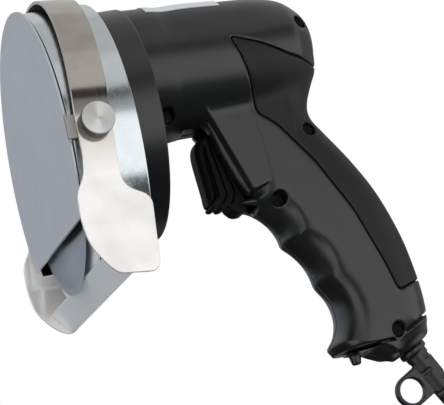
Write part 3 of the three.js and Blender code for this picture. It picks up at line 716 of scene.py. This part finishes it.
def handle_width(grid):
    """Half width of the handle over the side view: grip, trunk, trigger housing and the lip under it."""
    trunk = rounded(TRUNK, TRUNK_CORNERS)
    housing = rounded(HOUSING, HOUSING_CORNER)
    lip = smooth_line(LIP, 4, closed=True)
    return np.maximum.reduce([
        grip_width(grid),
        block_width(grid, trunk, TRUNK_HALF_WIDTH, TRUNK_ROUNDING, BLOCK_POWER),
        block_width(grid, housing, HOUSING_HALF_WIDTH, HOUSING_ROUNDING, BLOCK_POWER),
        block_width(grid, lip, LIP_HALF_WIDTH, LIP_ROUNDING, ROUND_POWER),
    ])


def barrel_at(behind):
    """Rise of the barrel's middle over the motor's axis, and its radius, behind the gear case."""
    place, rise, radius = smooth_line(BARREL, BARREL_STEPS).T
    return np.interp(behind, place, rise), np.interp(behind, place, radius)


def barrel_field(grid):
    behind = np.clip(grid.x - CASE_REAR, BARREL[0, 0], BARREL[-1, 0])
    rise, radius = np.float32(barrel_at(behind))
    barrel = np.hypot(grid.y, grid.z - MOTOR_HEIGHT - rise) - radius
    return grid.evened(np.maximum(barrel, grid.x - CASE_REAR - BARREL[-1, 0]))


def boot_axis_fields(grid):
    """Distance along the boot's axis from its exit, and away from that axis in the side view."""
    x, z = grid.x - BOOT_EXIT[0], grid.z - BOOT_EXIT[1]
    along = x * math.cos(BOOT_ANGLE) - z * math.sin(BOOT_ANGLE)
    upward = x * math.sin(BOOT_ANGLE) + z * math.cos(BOOT_ANGLE)
    return along, upward


def collar_field(grid):
    """Boss round the boot's exit, a little slimmer towards its end."""
    along, upward = boot_axis_fields(grid)
    side = np.hypot(upward, grid.y) - COLLAR_BOSS + COLLAR_TAPER * along
    return soft_max(side, np.maximum(along, -COLLAR_LENGTH - along), COLLAR_ROUNDING)


def peg_field(grid):
    """Peg under the foot, wider towards its root."""
    rise = np.clip((grid.z - PEG_TIP[1]) / PEG_LENGTH, 0, 1)
    side = np.hypot(grid.x - PEG_TIP[0], grid.y) - PEG_TIP_RADIUS - PEG_FLARE * rise
    ends = np.abs(grid.z - PEG_TIP[1] - PEG_LENGTH / 2) - PEG_LENGTH / 2
    return soft_max(side, ends, ROUND_EDGE)


def finger_grooves(grid, form):
    """Scoop grooves between the ridges of the grip's front, set back and equally deep at the sides."""
    aside = (grid.y / GRIP_HALF_WIDTH) ** 2
    for upper, lower, front_depth in zip(RIDGES, RIDGES[1:], GROOVE_DEPTHS):
        along = np.subtract(lower, upper)
        half = np.linalg.norm(along) / 2
        outside = np.array([along[1], -along[0]]) / (2 * half)
        depth = front_depth + (GROOVE_SIDE_DEPTH - front_depth) * aside
        radius = (half**2 + depth**2) / (2 * depth)
        away = radius - depth - RIDGE_SETBACK * aside
        centre = np.add(upper, lower) / 2
        scoop = np.hypot(grid.x - centre[0] - outside[0] * away, grid.z - centre[1] - outside[1] * away)
        form = soft_max(form, grid.evened(radius - scoop), GROOVE_ROUNDING)
    return form


def casing_field(grid):
    """Outer form of the barrel and handle together."""
    aside = np.abs(grid.y)
    handle = grid.evened(aside - handle_width(grid))
    handle = np.maximum(handle, aside - GRIP_HALF_WIDTH)
    form = soft_min(barrel_field(grid), handle, BARREL_FILLET)
    form = soft_min(finger_grooves(grid, form), collar_field(grid), COLLAR_FILLET)
    return soft_min(form, peg_field(grid), ROUND_EDGE)


def with_foot_seam(grid, form, shell):
    """Cut the seam round the foot, with a rib behind it that closes the wall."""
    cap, collar = grid.past_line(*CAP_LINE), grid.past_line(*COLLAR_LINE)
    away = np.abs(np.where(grid.x < COLLAR_LINE[0][0], cap, collar))
    rib = np.maximum(away - SEAM_RIB / 2, np.maximum(form + UNDER_SKIN, -form - SEAM_RIB))
    seam = np.maximum(away - SEAM_WIDTH / 2, -form - SEAM_DEPTH)
    return soft_max(np.minimum(shell, rib), -seam, FINE_EDGE)


def with_mouth(grid, shell):
    """Open the front of the barrel towards the gear case."""
    _, rise, radius = BARREL[0]
    mouth = np.hypot(grid.y, grid.z - MOTOR_HEIGHT - rise) - (radius - CASING_WALL)
    return np.maximum(shell, -np.maximum(mouth, grid.x - CASE_REAR - MOUTH_DEPTH))


def with_screw_recesses(grid, form, shell):
    """Sink a round recess with a wall of its own at each screw of the near side."""
    for place in SCREWS:
        rod = np.maximum(grid.rod(place, RECESS_RADIUS), grid.y)
        depths = np.maximum(form + UNDER_SKIN, -form - RECESS_DEPTH - RECESS_WALL)
        boss = np.maximum(rod - RECESS_WALL, depths)
        recess = np.maximum(rod, -form - RECESS_DEPTH)
        shell = soft_max(np.minimum(shell, boss), -recess, EDGE)
    return shell


def with_openings(grid, shell):
    """Cut the trigger's slot and the boot's socket."""
    slot = np.maximum(np.abs(grid.y) - TRIGGER_HALF_WIDTH - TRIGGER_GAP, grid.side_distance(TRIGGER_SLOT))
    along, upward = boot_axis_fields(grid)
    socket = np.maximum(np.hypot(upward, grid.y) - SOCKET_RADIUS, -along - SOCKET_DEPTH)
    return soft_max(soft_max(shell, -slot, TRIGGER_SLOT_EDGE), -socket, SOFT_EDGE)


def lapped(field, form):
    """Edge of a panel whose inner half of the wall reaches further, under its neighbour."""
    return np.minimum(field, np.maximum(field - LAP, form + CASING_WALL / 2))


def add_casing():
    """Hollow shell of the barrel and handle, cut into a near half, a far half and the rear insert."""
    grid = Grid(CASING_LOW, CASING_HIGH, CASING_ROOM, CASING_STEP)
    form = np.maximum(casing_field(grid), CASE_REAR + SHELL_GAP - grid.x)
    shell = soft_max(form, -(form + CASING_WALL), FINE_EDGE)
    shell = with_mouth(grid, with_foot_seam(grid, form, shell))
    shell = with_openings(grid, with_screw_recesses(grid, form, shell))
    panel = lapped(grid.side_distance(rounded(INSERT, INSERT_CORNER)), form)
    insert = soft_max(shell, panel + INSERT_GAP, SOFT_EDGE)
    halves = soft_max(shell, INSERT_GAP - panel, PANEL_EDGE)
    finish(grid.mesh("rear_insert_skin", insert), "body", "soft_insert", SOFT, "rear_insert")
    middle = lapped(grid.y, form)
    near = soft_max(halves, middle + HALVES_GAP, EDGE)
    far = soft_max(halves, HALVES_GAP - middle, EDGE)
    finish(grid.mesh("near_shell_skin", near), "body", "casing_plastic", CASING, "near_shell")
    finish(grid.mesh("far_shell_skin", far), "body", "casing_plastic", CASING, "far_shell")


# Trigger

ROCKER = spots(
    (29.5, -30.2), (26.6, -30.4), (23.8, -31.8), (21.9, -34.2), (21.2, -37.5), (21.2, -42), (21.5, -48),
    (21.8, -54), (21.8, -57.5), (22.3, -59.7), (23.8, -59.2), (25.5, -57.4), (26.2, -55), (26.1, -50),
    (25.8, -44), (26, -37), (28.4, -32),
)
LEAVES = [
    spots(
        (26.6, -31.5), (25.6, -36), (26.8, -55), (25.4, -57.6), (22.9, -59.9), (23.4, -61.2),
        (25.2, -61.2), (28, -59.4), (29.7, -57), (29.7, -54), (28.1, -40), (27.6, -33),
    ),
    spots(
        (28.1, -32), (28.4, -38), (30.2, -54), (30.1, -57), (28.4, -59.6), (26.2, -60.8), (26.8, -62),
        (29, -61.8), (31.6, -60), (33.3, -57), (33.3, -54), (30.2, -40.5), (28.7, -34),
    ),
    spots(
        (29.3, -32), (30.5, -39), (33.8, -54), (33.7, -57), (32, -60.4), (29.8, -61.4), (31, -63.6),
        (33.4, -65.3), (36.8, -65), (37.2, -62), (37, -57), (32.4, -38), (30.8, -31),
    ),
]
LEAF_STEP = 0.35
ROCKER_ROUNDING = 4.0
LEVER_CORE = spots((25, -33), (25.4, -57), (30, -60.4), (34, -57), (33, -46), (29.4, -33))
LEVER_CORE_HALF_WIDTH = 4.6
TRIGGER_ROOM = 9
FINE_STEP = 0.3


def add_trigger():
    """Rocker with rounded sides, and thin folds behind it that close in towards the pivot."""
    grid = Grid(spot(16, -68), spot(44, -27), TRIGGER_ROOM, FINE_STEP)
    aside = np.abs(grid.y)
    side = grid.side_distance(smooth_line(ROCKER, closed=True))
    lever = soft_max(side, aside - TRIGGER_HALF_WIDTH, ROCKER_ROUNDING)
    for k, outline in enumerate(LEAVES, 1):
        side = grid.side_distance(smooth_line(outline, 4, closed=True))
        width = TRIGGER_HALF_WIDTH - LEAF_STEP * k
        lever = np.minimum(lever, soft_max(side, aside - width, EDGE))
    core = np.maximum(grid.side_distance(LEVER_CORE), aside - LEVER_CORE_HALF_WIDTH)
    lever = soft_min(lever, core, FINE_EDGE)
    finish(grid.mesh("trigger_skin", lever), "trigger_lever", "soft_insert", SWITCH, "trigger")


# Gear case

CASE_BORE = 12.0
CASE_SIDES = 160


def add_gear_case():
    low, high = size_of("gear_case")
    middle = middle_of("gear_case").z
    section = ring_profile(low.x, CASE_REAR, CASE_BORE, high.z - middle)
    case = turned("gear_case_skin", rounded(section, [0.1, 0.8, 1.0, 0.1]), CASE_SIDES, middle)
    finish(case, "body", "casing_plastic", CASING, "gear_case")


# Guard, blade and front plate

PLATE_SHEET = 0.9
PLATE_BORE = 0.05
DRUM_WALL = 1.2
DRUM_BORE = 11.0
DRUM_FOOT = -36.8
DRUM_LIP = 0.3
SHIELD_FRONT = 6.7
SHIELD_SHEET = 0.8
SHIELD_FOOT = -49.6
SHIELD_BORE = 16.0
SHIELD_GAP = 0.1
BLADE_BORE = 6.3
FRONT_BEVEL = 3.2
REAR_BEVEL = 9.5
EDGE_SETBACK = 0.35
CUT_ANGLE = 60
BEVEL_ANGLE = 5


def kept_above(piece, height):
    """Cut away what lies below a height and close the cut."""
    level = HEAD + Vector((0, 0, height)) * MM
    with edited(piece) as work:
        everything = work.verts[:] + work.edges[:] + work.faces[:]
        cut = bmesh.ops.bisect_plane(
            work, geom=everything, plane_co=level, plane_no=(0, 0, 1), clear_inner=True)
        edges = [item for item in cut["geom_cut"] if isinstance(item, bmesh.types.BMEdge)]
        bmesh.ops.holes_fill(work, edges=edges)
        bmesh.ops.recalc_face_normals(work, faces=work.faces)
    return flat_shaded(sharp_by_angle(piece, CUT_ANGLE))


def add_front_plate():
    low, high = size_of("front_plate")
    profile = rounded(ring_profile(0, PLATE_SHEET, PLATE_BORE, high.z), [0.01, 0.25, 0.25, 0.01])
    plate = kept_above(turned("front_plate_skin", profile), low.z)
    finish(plate, "body", "plate_steel", PLATE, "front_plate")


def add_guard_drum():
    """Open-fronted drum, and a thin shield inside it behind the blade."""
    front = BAND_FRONT - DRUM_LIP
    floor = BAND_REAR - DRUM_WALL
    inside = BAND_RADIUS - DRUM_WALL
    profile = rounded([
        (front, inside), (front, BAND_RADIUS), (BAND_REAR, BAND_RADIUS), (BAND_REAR, DRUM_BORE),
        (floor, DRUM_BORE), (floor, inside),
    ], [0.2, 0.3, 0.8, 0.2, 0.2, 1.0])
    drum = kept_above(turned("guard_drum_skin", profile), DRUM_FOOT)
    finish(drum, "body", "drum_steel", BAND, "guard_drum")
    section = ring_profile(SHIELD_FRONT, SHIELD_FRONT + SHIELD_SHEET, SHIELD_BORE, inside - SHIELD_GAP)
    shield = kept_above(turned("drum_shield", rounded(section, 0.15, 2)), SHIELD_FOOT)
    finish(shield, "body", "drum_steel", SHIELD)


def add_blade():
    low, high = size_of("blade")
    radius = high.z
    profile = [
        (low.x, BLADE_BORE), (low.x, radius - FRONT_BEVEL), (low.x + EDGE_SETBACK, radius),
        (high.x, radius - REAR_BEVEL), (high.x, BLADE_BORE),
    ]
    blade = sharp_by_angle(turned("blade_skin", profile), BEVEL_ANGLE)
    finish(blade, "blade_rotor", "turned_steel", GROUND, "blade")


# Slice guide: drawn about the knobs' axis with the strap upright, then tilted rearward

STRAP_THICKNESS = 1.5
STRAP_EDGE = 0.35
STRAP_FRONT = -8.1
STRAP_REAR = 6.3
GUIDE_TILT = math.radians(7)
ARCH_TILT = math.radians(5.5)
ARCH_GAP = 2.3
ARCH_STEPS = 96
NEAR_PADDLE = [
    (STRAP_FRONT, 2), (-6.5, -14), (-6.8, -21), (-10.2, -27.6), (-9.8, -38), (-7, -48.5), (-1, -56),
    (3, -59.6), (19.4, -59.6), (18.9, -30), (8, -25.6), (6.9, -14), (STRAP_REAR, 2),
]
FAR_PADDLE = NEAR_PADDLE[:6] + [(-1, -55), (4, -58.4), (9, -59.4), (19.4, -49.2)] + NEAR_PADDLE[9:]
NEAR_ROUNDING = [0.1, 12, 6, 5, 12, 12, 8, 5, 4.5, 4, 5, 8, 0.1]
FAR_ROUNDING = NEAR_ROUNDING[:8] + [2.5, 3] + NEAR_ROUNDING[9:]


def tilted(points, tilt):
    """From the guide's upright drawing (along, across, up) to the tilted place about the knobs' axis."""
    points = np.asarray(points, float)
    c, s = math.cos(tilt), math.sin(tilt)
    x = KNOB_AXIS.x + points[:, 0] * c + points[:, 2] * s
    z = KNOB_AXIS.z - points[:, 0] * s + points[:, 2] * c
    return np.stack([x, points[:, 1], z], 1)


def add_guide_bracket():
    """One bent sheet: an arch over the drum, two legs and two paddles, with softened edges."""
    middle = LEG_OUTER - STRAP_THICKNESS / 2
    crown = BAND_RADIUS + ARCH_GAP + STRAP_THICKNESS / 2
    points = []
    for angle in np.linspace(0, math.pi, ARCH_STEPS + 1):
        y = -middle * math.cos(angle)
        z = crown * math.sin(angle) - KNOB_AXIS.z
        points += [(STRAP_FRONT, y, z), (STRAP_REAR, y, z)]
    last = len(points) - 2
    arch = tilted(points, ARCH_TILT)
    faces = [(k, k + 1, k + 3, k + 2) for k in range(0, last, 2)]
    end_points = CORNER_STEPS + 1
    near, far = (0, -middle, NEAR_PADDLE, NEAR_ROUNDING), (last, middle, FAR_PADDLE, FAR_ROUNDING)
    for end, y, paddle, rounding in (near, far):
        start = len(points)
        points += [(u, y, v) for u, v in rounded(paddle, rounding)[end_points:-end_points]]
        loop = [end, *range(start, len(points)), end + 1]
        faces.append(loop if y > 0 else loop[::-1])
    placed = np.concatenate([arch, tilted(points[len(arch):], GUIDE_TILT)])
    bracket = thickened(outward(add_mesh("guide_bracket_skin", placed, faces)), STRAP_THICKNESS)
    finish(bevelled(bracket, STRAP_EDGE), "slice_guide", "guide_steel", GUIDE, "guide_bracket")


def add_guide_strip():
    """The CAD strip's outline with rounded corners and softened edges."""
    corners = np.array([(v.co.x, v.co.z) for v in frame["nodes"]["guide_strip"].data.vertices])
    corners = np.unique((corners - np.array((HEAD.x, HEAD.z))) / MM, axis=0)
    across, up = (corners - corners.mean(0)).T
    outline = rounded(corners[np.argsort(np.arctan2(up, across))], 0.4, 3)
    low, high = size_of("guide_strip")
    strip = prism("guide_strip_skin", outline, low.y, high.y, edge=0.15, axis=1)
    finish(strip, "slice_guide", "guide_steel", STRIP, "guide_strip")


# Clips

CLIP_SHEET = 1.6
CLIP_GAP = 0.3
CLIP_HALF_HEIGHT = 4.7
CLIP_TAIL = 5.5
CLIP_STEP = 0.2
CLIP_NECK = 1.4
CLIP_EDGE = 0.2
ROLL_RADIUS = 1.0
PIN_RADIUS = 0.55
PIN_PROUD = 1.2


def arc(centre, radius, angles):
    return [(centre[0] + radius * math.cos(a), centre[1] + radius * math.sin(a)) for a in angles]


def add_clips():
    """Tabs rolled round an upright pin beside the front plate's rim."""
    inner = LEG_OUTER - STRAP_THICKNESS - CLIP_GAP - CLIP_SHEET
    low, high = KNOB_AXIS.z - CLIP_HALF_HEIGHT, KNOB_AXIS.z + CLIP_HALF_HEIGHT
    tail = KNOB_AXIS.x + CLIP_TAIL
    bends = np.linspace(0.5 * math.pi, 2.05 * math.pi, 14)
    turns = np.arange(16) * math.pi / 8
    for name, sign, place in (("near", -1, 0.3), ("far", 1, 2.8)):
        centre = inner + ROLL_RADIUS
        outline = [(tail, inner + CLIP_STEP), (tail, inner + CLIP_SHEET), (place, centre + ROLL_RADIUS)]
        outline += arc((place, centre), ROLL_RADIUS, bends)[1:]
        outline.append((place + CLIP_NECK, inner + CLIP_STEP))
        outline = [(x, sign * y) for x, y in outline]
        tab = prism(name + "_clip_skin", outline, low, high, CLIP_EDGE, axis=2)
        pin = arc((place, sign * centre), PIN_RADIUS, turns)
        rod = prism(name + "_clip_pin", pin, low - PIN_PROUD, high + PIN_PROUD, CLIP_EDGE, axis=2)
        finish(merged(tab, rod), "body", "guide_steel", CLIP, name + "_clip")


# Knobs

KNOB_SIDES = 144
KNOB_GAP = 0.3
KNOB_BORE = 2.3
KNURL_ROWS = 15
KNURL_TEETH = 40
KNURL_DEPTH = 0.35
KNURL_SLANT = 3


def knob_rows(inner):
    """Rings from the knob's seat to the middle of its face: place across, radius and depth of the knurl."""
    seat = [(inner, KNOB_BORE), (inner, KNOB_RADIUS - 0.7), (inner + 0.5, KNOB_RADIUS - 0.25)]
    knurl = np.linspace(inner + 0.6, KNOB_FACE - 0.55, KNURL_ROWS)
    face = [
        (KNOB_FACE - 0.5, KNOB_RADIUS - 0.05), (KNOB_FACE - 0.12, KNOB_RADIUS - 0.15),
        (KNOB_FACE, KNOB_RADIUS - 0.4), (KNOB_FACE, 0.8), (KNOB_FACE - 0.15, 0.6), (KNOB_FACE - 0.15, 0.05),
    ]
    rows = [(*ring, 0) for ring in seat]
    rows += [(y, KNOB_RADIUS, KNURL_DEPTH) for y in knurl]
    return rows + [(*ring, 0) for ring in face]


def add_knobs():
    """Knurled heads with a chamfered, turned face; the stud stays inside the guide."""
    inner = LEG_OUTER + KNOB_GAP
    rows = knob_rows(inner)
    angles = np.arange(KNOB_SIDES) * 2 * math.pi / KNOB_SIDES
    slant = 2 * math.pi * KNURL_SLANT / (KNURL_TEETH * (KNOB_FACE - inner))
    for name, sign in (("near", -1), ("far", 1)):
        points = []
        for y, widest, depth in rows:
            twist = slant * (y - inner)
            left, right = (np.abs(np.sin(KNURL_TEETH / 2 * (angles + turn))) for turn in (twist, -twist))
            radius = widest - depth * np.maximum(left, right) ** 2
            x = KNOB_AXIS.x + radius * np.cos(angles)
            z = KNOB_AXIS.z + radius * np.sin(angles)
            points.append(np.stack([x, np.full(KNOB_SIDES, sign * y), z], 1))
        faces = ring_faces(KNOB_SIDES, len(rows))
        knob = flat_shaded(outward(add_mesh(name + "_knob_skin", np.concatenate(points), faces)))
        finish(knob, name + "_thumb_knob", "turned_steel", KNURLED, name + "_knob")


# Cord boot with its hanging loop

BOOT_RADIUS = 5.1
BOOT_TIP_RADIUS = 4.2
BOOT_LENGTH = 42.0
BOOT_ROOT = 5.5
BOOT_ROUNDING = 1.2
BOOT_ROOM = 8
RING_RADIUS = 6.2
RING_ALONG = 1.7
RING_HALF_LENGTH = 1.4
RING_ROUNDING = 1.0
BOOT_BORE = 2.6
SLOT_COUNT = 6
SLOT_START = 6.4
SLOT_PITCH = 5.4
SLOT_WIDTH = 1.7
SLOT_FLOOR = 3.5
LOOP_ALONG = 13.9
LOOP_HOLE = 5.3
LOOP_OUTER = 6.9
LOOP_HALF_THICKNESS = 2.0


def slotted(grid, boot, along, upward):
    """Cut slots into the boot from both sides, each turned a quarter from the one before."""
    for k in range(SLOT_COUNT):
        middle = SLOT_START + SLOT_PITCH * k
        across = (upward - grid.y if k % 2 == 0 else upward + grid.y) / math.sqrt(2)
        slot = np.maximum(np.abs(along - middle) - SLOT_WIDTH / 2, SLOT_FLOOR - np.abs(across))
        boot = soft_max(boot, -slot, FINE_EDGE)
    return boot


def loop_field(grid, along, upward):
    """Flat eye under the boot, joined to it by a web."""
    drop = BOOT_RADIUS + LOOP_OUTER
    reach = np.hypot(along - LOOP_ALONG, upward + drop)
    web = np.maximum(np.abs(along - LOOP_ALONG) - LOOP_OUTER, np.abs(upward + drop / 2) - drop / 2)
    eye = np.minimum(reach - LOOP_OUTER, web)
    eye = soft_max(eye, np.abs(grid.y) - LOOP_HALF_THICKNESS, ROUND_EDGE)
    return soft_max(eye, LOOP_HOLE - reach, ROUND_EDGE)


def add_boot():
    grid = Grid(spot(78, -178), spot(122, -126), BOOT_ROOM, FINE_STEP)
    along, upward = boot_axis_fields(grid)
    away = np.hypot(upward, grid.y)
    taper = BOOT_RADIUS - (BOOT_RADIUS - BOOT_TIP_RADIUS) * np.clip(along / BOOT_LENGTH, 0, 1)
    boot = soft_max(away - taper, np.maximum(-BOOT_ROOT - along, along - BOOT_LENGTH), BOOT_ROUNDING)
    boot = slotted(grid, boot, along, upward)
    ring = soft_max(away - RING_RADIUS, np.abs(along - RING_ALONG) - RING_HALF_LENGTH, RING_ROUNDING)
    boot = soft_min(boot, ring, ROUND_EDGE)
    boot = soft_min(boot, loop_field(grid, along, upward), ROUND_EDGE)
    boot = soft_max(boot, BOOT_BORE - away, SOFT_EDGE)
    finish(grid.mesh("cord_boot_skin", boot), "body", "boot_rubber", RUBBER, "cord_boot")


# Label

LABEL_MARGIN = 2.0
LABEL_SHIFT = 2.0
LABEL_LIFT = 0.3
LABEL_SHEET = 0.4
LABEL_POINTS = 25
LABEL_KNOT = 3


def add_label():
    """Bare plate bent over the top of the barrel, a little wider and further forward than the CAD one."""
    low, high = size_of("label_plate")
    half = math.asin((high.y + LABEL_MARGIN) / BARREL[LABEL_KNOT, 2])
    points = []
    for x in np.linspace(low.x - LABEL_SHIFT, high.x - LABEL_SHIFT, LABEL_POINTS):
        rise, radius = barrel_at(x - CASE_REAR)
        radius += LABEL_LIFT
        for angle in np.linspace(-half, half, LABEL_POINTS):
            points.append((x, radius * math.sin(angle), MOTOR_HEIGHT + rise + radius * math.cos(angle)))
    label = add_mesh("label_plate_skin", points, sheet_faces(LABEL_POINTS, LABEL_POINTS))
    label = flat_shaded(sharp_by_angle(thickened(label, LABEL_SHEET)))
    finish(label, "body", "label_foil", FOIL, "label_plate")


# Inner parts

def dress_inner_parts():
    """CAD pieces whose shape is right keep it and get a finish."""
    by_slot = {"dark_steel": DARK, "turned_steel": GROUND, "winding_copper": COPPER, "ferrite": FERRITE,
               "switch_plastic": SWITCH, "soft_insert": SOFT}
    for entry in frame["record"]["subparts"]:
        node = frame["nodes"][entry["node"]]
        material = by_slot.get(entry["material_slot"])
        if material and not node.hide_render:
            node.data.materials.clear()
            node.data.materials.append(material)


add_casing()
add_trigger()
add_gear_case()
add_front_plate()
add_guard_drum()
add_blade()
add_guide_bracket()
add_guide_strip()
add_clips()
add_knobs()
add_boot()
add_label()
dress_inner_parts()


# Stage: the camera's place and aim are in millimetres from the front plate's middle, the rest is in metres

CAMERA_PLACE = (-187.2, -878.1, -194.1)
CAMERA_AIM = (67.8, -15.3, -31.4)
CAMERA_ROLL = math.radians(-13.5)
CAMERA_LENS = 180.9
FLOOR_HALF = 6.0
FLOOR_LEVEL = -0.3
CARD_RADIUS = 1.6
CARD_POINTS = 17
LAMP_AIM = Vector((0, 0, 0.03))
LAMP_SIZE = 0.7
LAMP_POWER = 6
WHITE = (1, 1, 1, 1)


def add_floor():
    """Pale paper under the object that the camera sees as white, with a soft shadow."""
    ends = (-FLOOR_HALF, FLOOR_HALF)
    points = [(x, y, FLOOR_LEVEL) for y in ends for x in ends]
    floor = place_mesh("floor", points, sheet_faces(2, 2))
    look = new_look("floor_paper")
    seen = look.node("LightPath", "Is Camera Ray")
    floor.data.materials.append(look.surface({
        "Base Color": (0.85, 0.85, 0.85, 1),
        "Roughness": 0.9,
        "Emission Color": WHITE,
        "Emission Strength": look.spread(seen, 0.0, 0.5),
    }))
    floor.visible_glossy = False


def add_world():
    """White where the camera, metal or glass looks past the object, softer where it lights the object."""
    world = bpy.data.worlds.new("studio")
    bpy.context.scene.world = world
    look = Look(world)
    rays = ("Is Camera Ray", "Is Glossy Ray", "Is Transmission Ray")
    camera, metal, glass = (look.node("LightPath", ray) for ray in rays)
    seen = look.larger(look.larger(camera, metal), glass)
    look.surface({"Color": WHITE, "Strength": look.spread(seen, 0.55, 1.0)}, "Background")


def add_card(name, azimuths, elevations, colour):
    """Curved card far from the object that only reflections see: angles in degrees round the object."""
    points = []
    for elevation in np.radians(np.linspace(*elevations, CARD_POINTS)):
        reach, height = CARD_RADIUS * math.cos(elevation), CARD_RADIUS * math.sin(elevation)
        for azimuth in np.radians(np.linspace(*azimuths, CARD_POINTS)):
            points.append((reach * math.cos(azimuth), reach * math.sin(azimuth), height))
    card = place_mesh(name, points, sheet_faces(CARD_POINTS, CARD_POINTS))
    look = new_look(name)
    glow = look.node("Emission", "Emission", {"Color": (*colour, 1)})
    card.data.materials.append(look.surface({"Surface": glow}, "Material Output"))
    for ray in ("camera", "diffuse", "transmission", "shadow"):
        setattr(card, "visible_" + ray, False)


def add_lamp(name, place):
    """Square lamp aimed at the object, unseen in reflections."""
    lamp = bpy.data.lights.new(name, "AREA")
    lamp.size = LAMP_SIZE
    lamp.energy = LAMP_POWER
    piece = add_object(name, lamp)
    piece.location = place
    piece.rotation_euler = (LAMP_AIM - Vector(place)).to_track_quat("-Z", "Y").to_euler()
    piece.visible_glossy = False


def add_camera():
    camera = bpy.data.cameras.new("camera")
    camera.lens = CAMERA_LENS
    camera.sensor_fit = "HORIZONTAL"
    piece = add_object("camera", camera)
    place = HEAD + Vector(CAMERA_PLACE) * MM
    aim = HEAD + Vector(CAMERA_AIM) * MM
    turn = (aim - place).to_track_quat("-Z", "Y").to_matrix().to_4x4()
    piece.matrix_world = Matrix.Translation(place) @ turn @ Matrix.Rotation(CAMERA_ROLL, 4, "Z")
    bpy.context.scene.camera = piece


add_floor()
add_world()
add_card("roof_card", (-180, 180), (37, 64), (0.535, 0.54, 0.54))
add_card("eaves_card", (-10, 265), (27, 37), (0.535, 0.54, 0.54))
add_card("zenith_card", (-180, 180), (64, 90), (0.44, 0.44, 0.44))
add_card("dark_edge_card", (-95, -10), (18, 29), (0.27, 0.27, 0.27))
add_card("dark_line_card", (-95, -10), (29, 37), (0.02, 0.02, 0.02))
add_card("low_card", (-150, 0), (-45, -28), (0.04, 0.05, 0.05))
add_card("under_card", (-180, 180), (-90, -45), (0.04, 0.045, 0.05))
add_card("front_card", (75, 150), (-3, 27), (0.39, 0.42, 0.48))
add_card("front_low_card", (75, 150), (-45, -3), (0.02, 0.02, 0.02))
add_card("front_side_card", (150, 190), (-45, 20), (0.02, 0.02, 0.02))
add_card("gap_card", (-128, -102), (-26, 17), (0.1, 0.1, 0.1))
add_card("back_card", (0, 75), (-45, 27), (0.3, 0.3, 0.31))
add_lamp("key", (-0.5, -0.9, 0.4))
add_lamp("rear", (0.7, 0.6, 0.6))
add_camera()
bpy.context.scene.view_settings.view_transform = "Standard"
